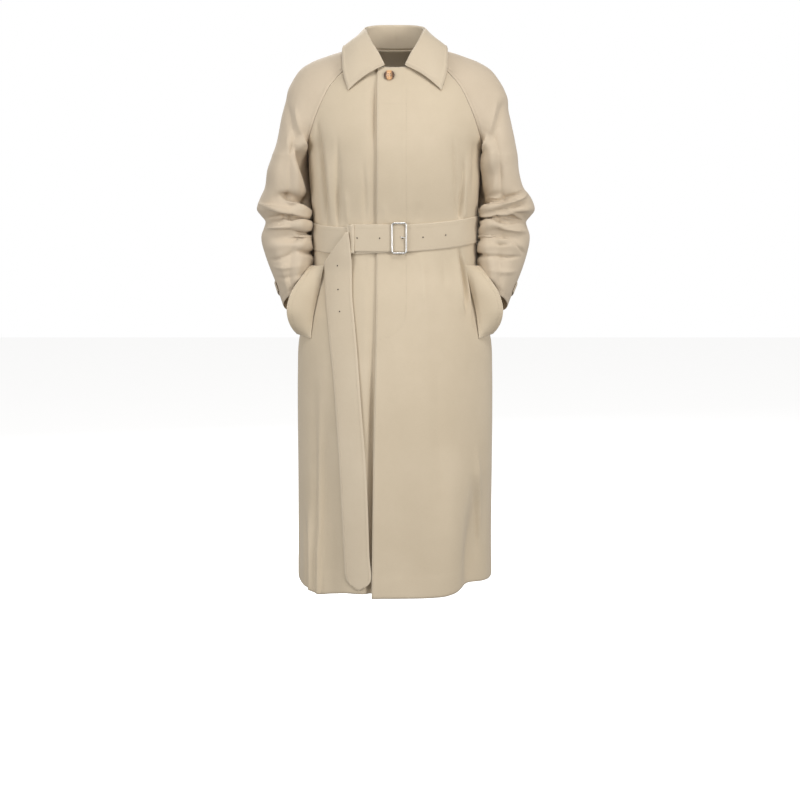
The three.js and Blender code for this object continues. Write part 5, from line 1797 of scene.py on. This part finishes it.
def gabardine(name, colour, deeper, pale):
    """Smooth twill cotton: fine diagonal ribs, soft mottling and slightly paler edges."""
    paint = Paint(name)
    cloth = paint.node("ShaderNodeUVMap", {"uv_map": "cloth"})
    place = paint.place()
    edge = paint.node("ShaderNodeAttribute", {"attribute_name": "edge"}, output="Fac")
    along = paint.axis(cloth, "X")
    down = paint.axis(cloth, "Y")
    rib_turn = 2 * math.pi / TWILL["rib"]
    twill = ((along * TWILL["across"] + down * TWILL["down"]) * rib_turn).sine() * 0.5 + 0.5
    yarn = paint.noise(paint.scaled(cloth, YARN["fine"]), 1.0, 2.0)
    slub = paint.noise(paint.scaled(cloth, YARN["slub"]), 1.0, 3.0)
    mottle = paint.noise(place, MOTTLING["wide"], 3.0, 0.55)
    cloudy = paint.noise(place, MOTTLING["cloudy"], 3.0, 0.6)
    base = paint.mix(mottle.between(0.3, 0.7), colour, deeper)
    base = paint.mix(cloudy.between(0.35, 0.75) * 0.35, base, deeper)
    base = paint.mix((yarn * 0.5 + slub * 0.5).between(0.35, 0.7) * 0.22, base, pale)
    base = paint.mix((1 - edge.between(0.0005, 0.0035)) * 0.45, base, pale)
    rough = 0.8 + (cloudy - 0.5) * 0.16
    height = twill * 0.45 + yarn * 0.35 + slub * 0.3
    micro = paint.bump(height, 0.35, 0.00025)
    soft = paint.noise(place, MOTTLING["soft"], 3.0, 0.55)
    normal = paint.node("ShaderNodeBump", {}, {
        "Height": soft, "Strength": 0.22, "Distance": 0.0012, "Normal": micro,
    })
    return paint.finish({"Base Color": base, "Roughness": rough, "Normal": normal, **SHEEN})


def thread_material(name, colour):
    paint = Paint(name)
    place = paint.place()
    fleck = paint.noise(place, 900.0, 2.0)
    base = paint.mix(fleck.between(0.35, 0.65) * 0.4, colour, tuple(c * 0.75 for c in colour))
    return paint.finish({
        "Base Color": base, "Roughness": 0.62 + (fleck - 0.5) * 0.2,
        "Normal": paint.bump(fleck, 0.4, 0.0001), "Sheen Weight": 0.1,
    })


def horn_material(name, centre, radius):
    """Mottled horn: an orange cream heart that darkens to brown at both sides."""
    paint = Paint(name)
    place = paint.place()
    local = paint.node("ShaderNodeMapping", {}, {
        "Vector": place, "Location": tuple(-c / radius for c in centre), "Scale": (1 / radius,) * 3,
    })
    across = paint.axis(local, "X")
    streak = paint.noise(paint.scaled(local, (2.2, 1.0, 0.7)), 1.6, 4.0, 0.6)
    fine = paint.noise(paint.scaled(local, (9.0, 3.0, 2.0)), 2.0, 4.0, 0.65)
    shade = across.size() + (streak - 0.5) * 0.7 + (fine - 0.5) * 0.25
    base = paint.node("ShaderNodeValToRGB", {"stops": HORN_STOPS}, {0: shade})
    return paint.finish({
        "Base Color": base, "Roughness": 0.3 + fine * 0.14,
        "Normal": paint.bump(fine, 0.25, 0.0001), "Specular IOR Level": 0.55,
    })


def nickel_material(name):
    paint = Paint(name)
    place = paint.place()
    brushed = paint.noise(paint.scaled(place, (500.0, 500.0, 4200.0)), 1.0, 3.0)
    cloudy = paint.noise(place, 160.0, 3.0)
    base = paint.mix(cloudy.between(0.4, 0.8) * 0.5, *NICKEL_COLOURS)
    return paint.finish({
        "Base Color": base, "Roughness": 0.24 + brushed * 0.06 + cloudy * 0.06, "Metallic": 1.0,
        "Normal": paint.bump(brushed, 0.04, 0.00002),
    })


# Painted shade for holes that are not cut: a near-black, grainy surface
def hole_shade_material(name):
    paint = Paint(name)
    place = paint.place()
    grain = paint.noise(place, 700.0, 2.0)
    base = paint.mix(grain, *HOLE_SHADE_COLOURS)
    return paint.finish({
        "Base Color": base, "Roughness": 0.85 + grain * 0.1, "Normal": paint.bump(grain, 0.4, 0.0002),
    })


# Putting the pieces on the frame

def dress(piece, material, replace=True):
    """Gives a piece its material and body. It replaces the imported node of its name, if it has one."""
    piece.data.materials.clear()
    piece.data.materials.append(material)
    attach(piece, "root")
    if replace:
        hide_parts(piece.name.removeprefix("coat_"))


def dress_button(pieces, horn, hole, thread):
    """A button with the painted shade of its holes and the thread that holds it."""
    button, holes, threads = pieces
    dress(button, horn)
    dress(holes, hole, replace=False)
    dress(threads, thread, replace=False)


def dress_panels(body, sleeve, collar):
    """The fronts, the back, the sleeves, the collar and the welts. Gives the grid of the over front."""
    front, front_left = build_front_left()
    for piece in (front_left, build_front_right(), build_back()):
        dress(piece, body)
    dress(build_sleeve("coat_sleeve_left", 1, LEFT_SLEEVE_CREASES, 7), sleeve)
    dress(build_sleeve("coat_sleeve_right", -1, RIGHT_SLEEVE_CREASES, 8), sleeve)
    dress(build_collar_fall(), collar)
    dress(build_collar_stand(), collar)
    for word, side in SIDES.items():
        dress(build_welt(f"coat_pocket_welt_{word}", side), body)
    return front


def dress_belt(belt, nickel, hole, thread):
    """The belt with its loops, its buckle and its worked holes."""
    waist_grid, waist = build_belt_waist()
    tail_grid, tail = build_belt_tail()
    hitch = build_belt_hitch()
    loops = [build_belt_loop(f"coat_belt_loop_{word}", 2 - side) for word, side in SIDES.items()]
    for piece in (waist, tail, hitch, *loops):
        dress(piece, belt)
    dress(build_buckle_frame(), nickel)
    dress(build_buckle_prong(), nickel)
    holes, rings = build_eyelets(waist_grid, tail_grid)
    dress(holes, hole, replace=False)
    dress(rings, thread, replace=False)


def dress_buttons(front, sleeve, hole, thread):
    """The top button, then each cuff's tab with its button."""
    centre = np.mean([np.array(corner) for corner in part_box("top_button")], axis=0)
    horn = horn_material("horn", centre, TOP_BUTTON["radius"])
    dress_button(build_top_button(front), horn, hole, thread)
    radius = CUFF_BUTTON["radius"]
    for word, side in SIDES.items():
        tab, spot, axis = build_cuff_tab(f"coat_cuff_tab_{word}", side)
        dress(tab, sleeve)
        button = build_button(f"coat_cuff_button_{word}", radius, CUFF_BUTTON["thick"], spot, axis)
        horn = horn_material(f"horn_cuff_{word}", spot, radius)
        dress_button(button, horn, hole, thread)


def dress_stitches(thread):
    for seed, (where, slot) in enumerate(STITCH_SLOTS.items()):
        stitches = build_stitches(f"coat_stitches_{where}", STITCH_RUNS[where], thread, seed)
        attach(stitches, "root")


def build_coat():
    cloths = {name: gabardine(f"{name}_cloth", *colours) for name, colours in CLOTH_COLOURS.items()}
    thread = thread_material("thread", THREAD_COLOUR)
    nickel = nickel_material("nickel")
    hole = hole_shade_material("hole")
    front = dress_panels(cloths["body"], cloths["sleeve"], cloths["collar"])
    dress_belt(cloths["belt"], nickel, hole, thread)
    dress_buttons(front, cloths["sleeve"], hole, thread)
    dress_stitches(thread)


# The camera, the light and the floor

def add_camera():
    """The camera, in front of the chest and tilted a little down."""
    data = bpy.data.cameras.new("camera")
    data.lens = CAMERA["lens"]
    data.sensor_width = CAMERA["sensor"]
    data.clip_end = 60
    camera = link("camera", data)
    camera.location = (CAMERA["x"], CAMERA["y"], CAMERA["z"])
    camera.rotation_euler = (math.radians(90 - CAMERA["tilt"]), 0, 0)
    bpy.context.scene.camera = camera


def add_light(name, place, size, watts, colour):
    """A soft square light turned to the middle of the coat."""
    data = bpy.data.lights.new(name, "AREA")
    data.shape = "SQUARE"
    data.size = size
    data.energy = watts
    data.color = colour
    light = link(name, data)
    light.location = place
    aim = np.array([0, 0, -0.5]) - np.array(place)
    light.rotation_euler = (
        math.acos(-aim[2] / float(np.linalg.norm(aim))),
        0,
        math.atan2(aim[1], aim[0]) - math.pi / 2,
    )


def add_world():
    """A white backdrop that lights the coat less than it shows."""
    world = bpy.data.worlds.new("studio")
    world.use_nodes = True
    tree = world.node_tree
    shown = tree.nodes["Background"]
    shown.inputs["Color"].default_value = (1.0, 1.0, 1.0, 1.0)
    ambient = tree.nodes.new("ShaderNodeBackground")
    ambient.inputs["Color"].default_value = (1.0, 0.99, 0.975, 1.0)
    ambient.inputs["Strength"].default_value = AMBIENT
    rays = tree.nodes.new("ShaderNodeLightPath")
    choice = tree.nodes.new("ShaderNodeMixShader")
    tree.links.new(rays.outputs["Is Camera Ray"], choice.inputs[0])
    tree.links.new(ambient.outputs[0], choice.inputs[1])
    tree.links.new(shown.outputs[0], choice.inputs[2])
    tree.links.new(choice.outputs[0], tree.nodes["World Output"].inputs["Surface"])
    bpy.context.scene.world = world


def add_floor():
    mesh = bpy.data.meshes.new("floor")
    corners = [(FLOOR_HALF * x, FLOOR_HALF * y, FLOOR_Z) for x, y in ((-1, -1), (1, -1), (1, 1), (-1, 1))]
    mesh.from_pydata(corners, [], [(0, 1, 2, 3)])
    floor = link("floor", mesh)
    floor.visible_diffuse = False
    floor.visible_glossy = False
    paint = Paint("floor")
    place = paint.place()
    mesh.materials.append(paint.finish({
        "Base Color": paint.mix(paint.noise(place, 3.0) * 0.2, *FLOOR_COLOURS),
        "Roughness": 0.9, "Emission Color": (1.0, 1.0, 1.0), "Emission Strength": FLOOR_GLOW,
    }))


def add_studio():
    add_world()
    add_floor()
    for light in LIGHTS:
        add_light(*light)
    bpy.context.scene.view_settings.view_transform = "Standard"


add_camera()
build_coat()
add_studio()
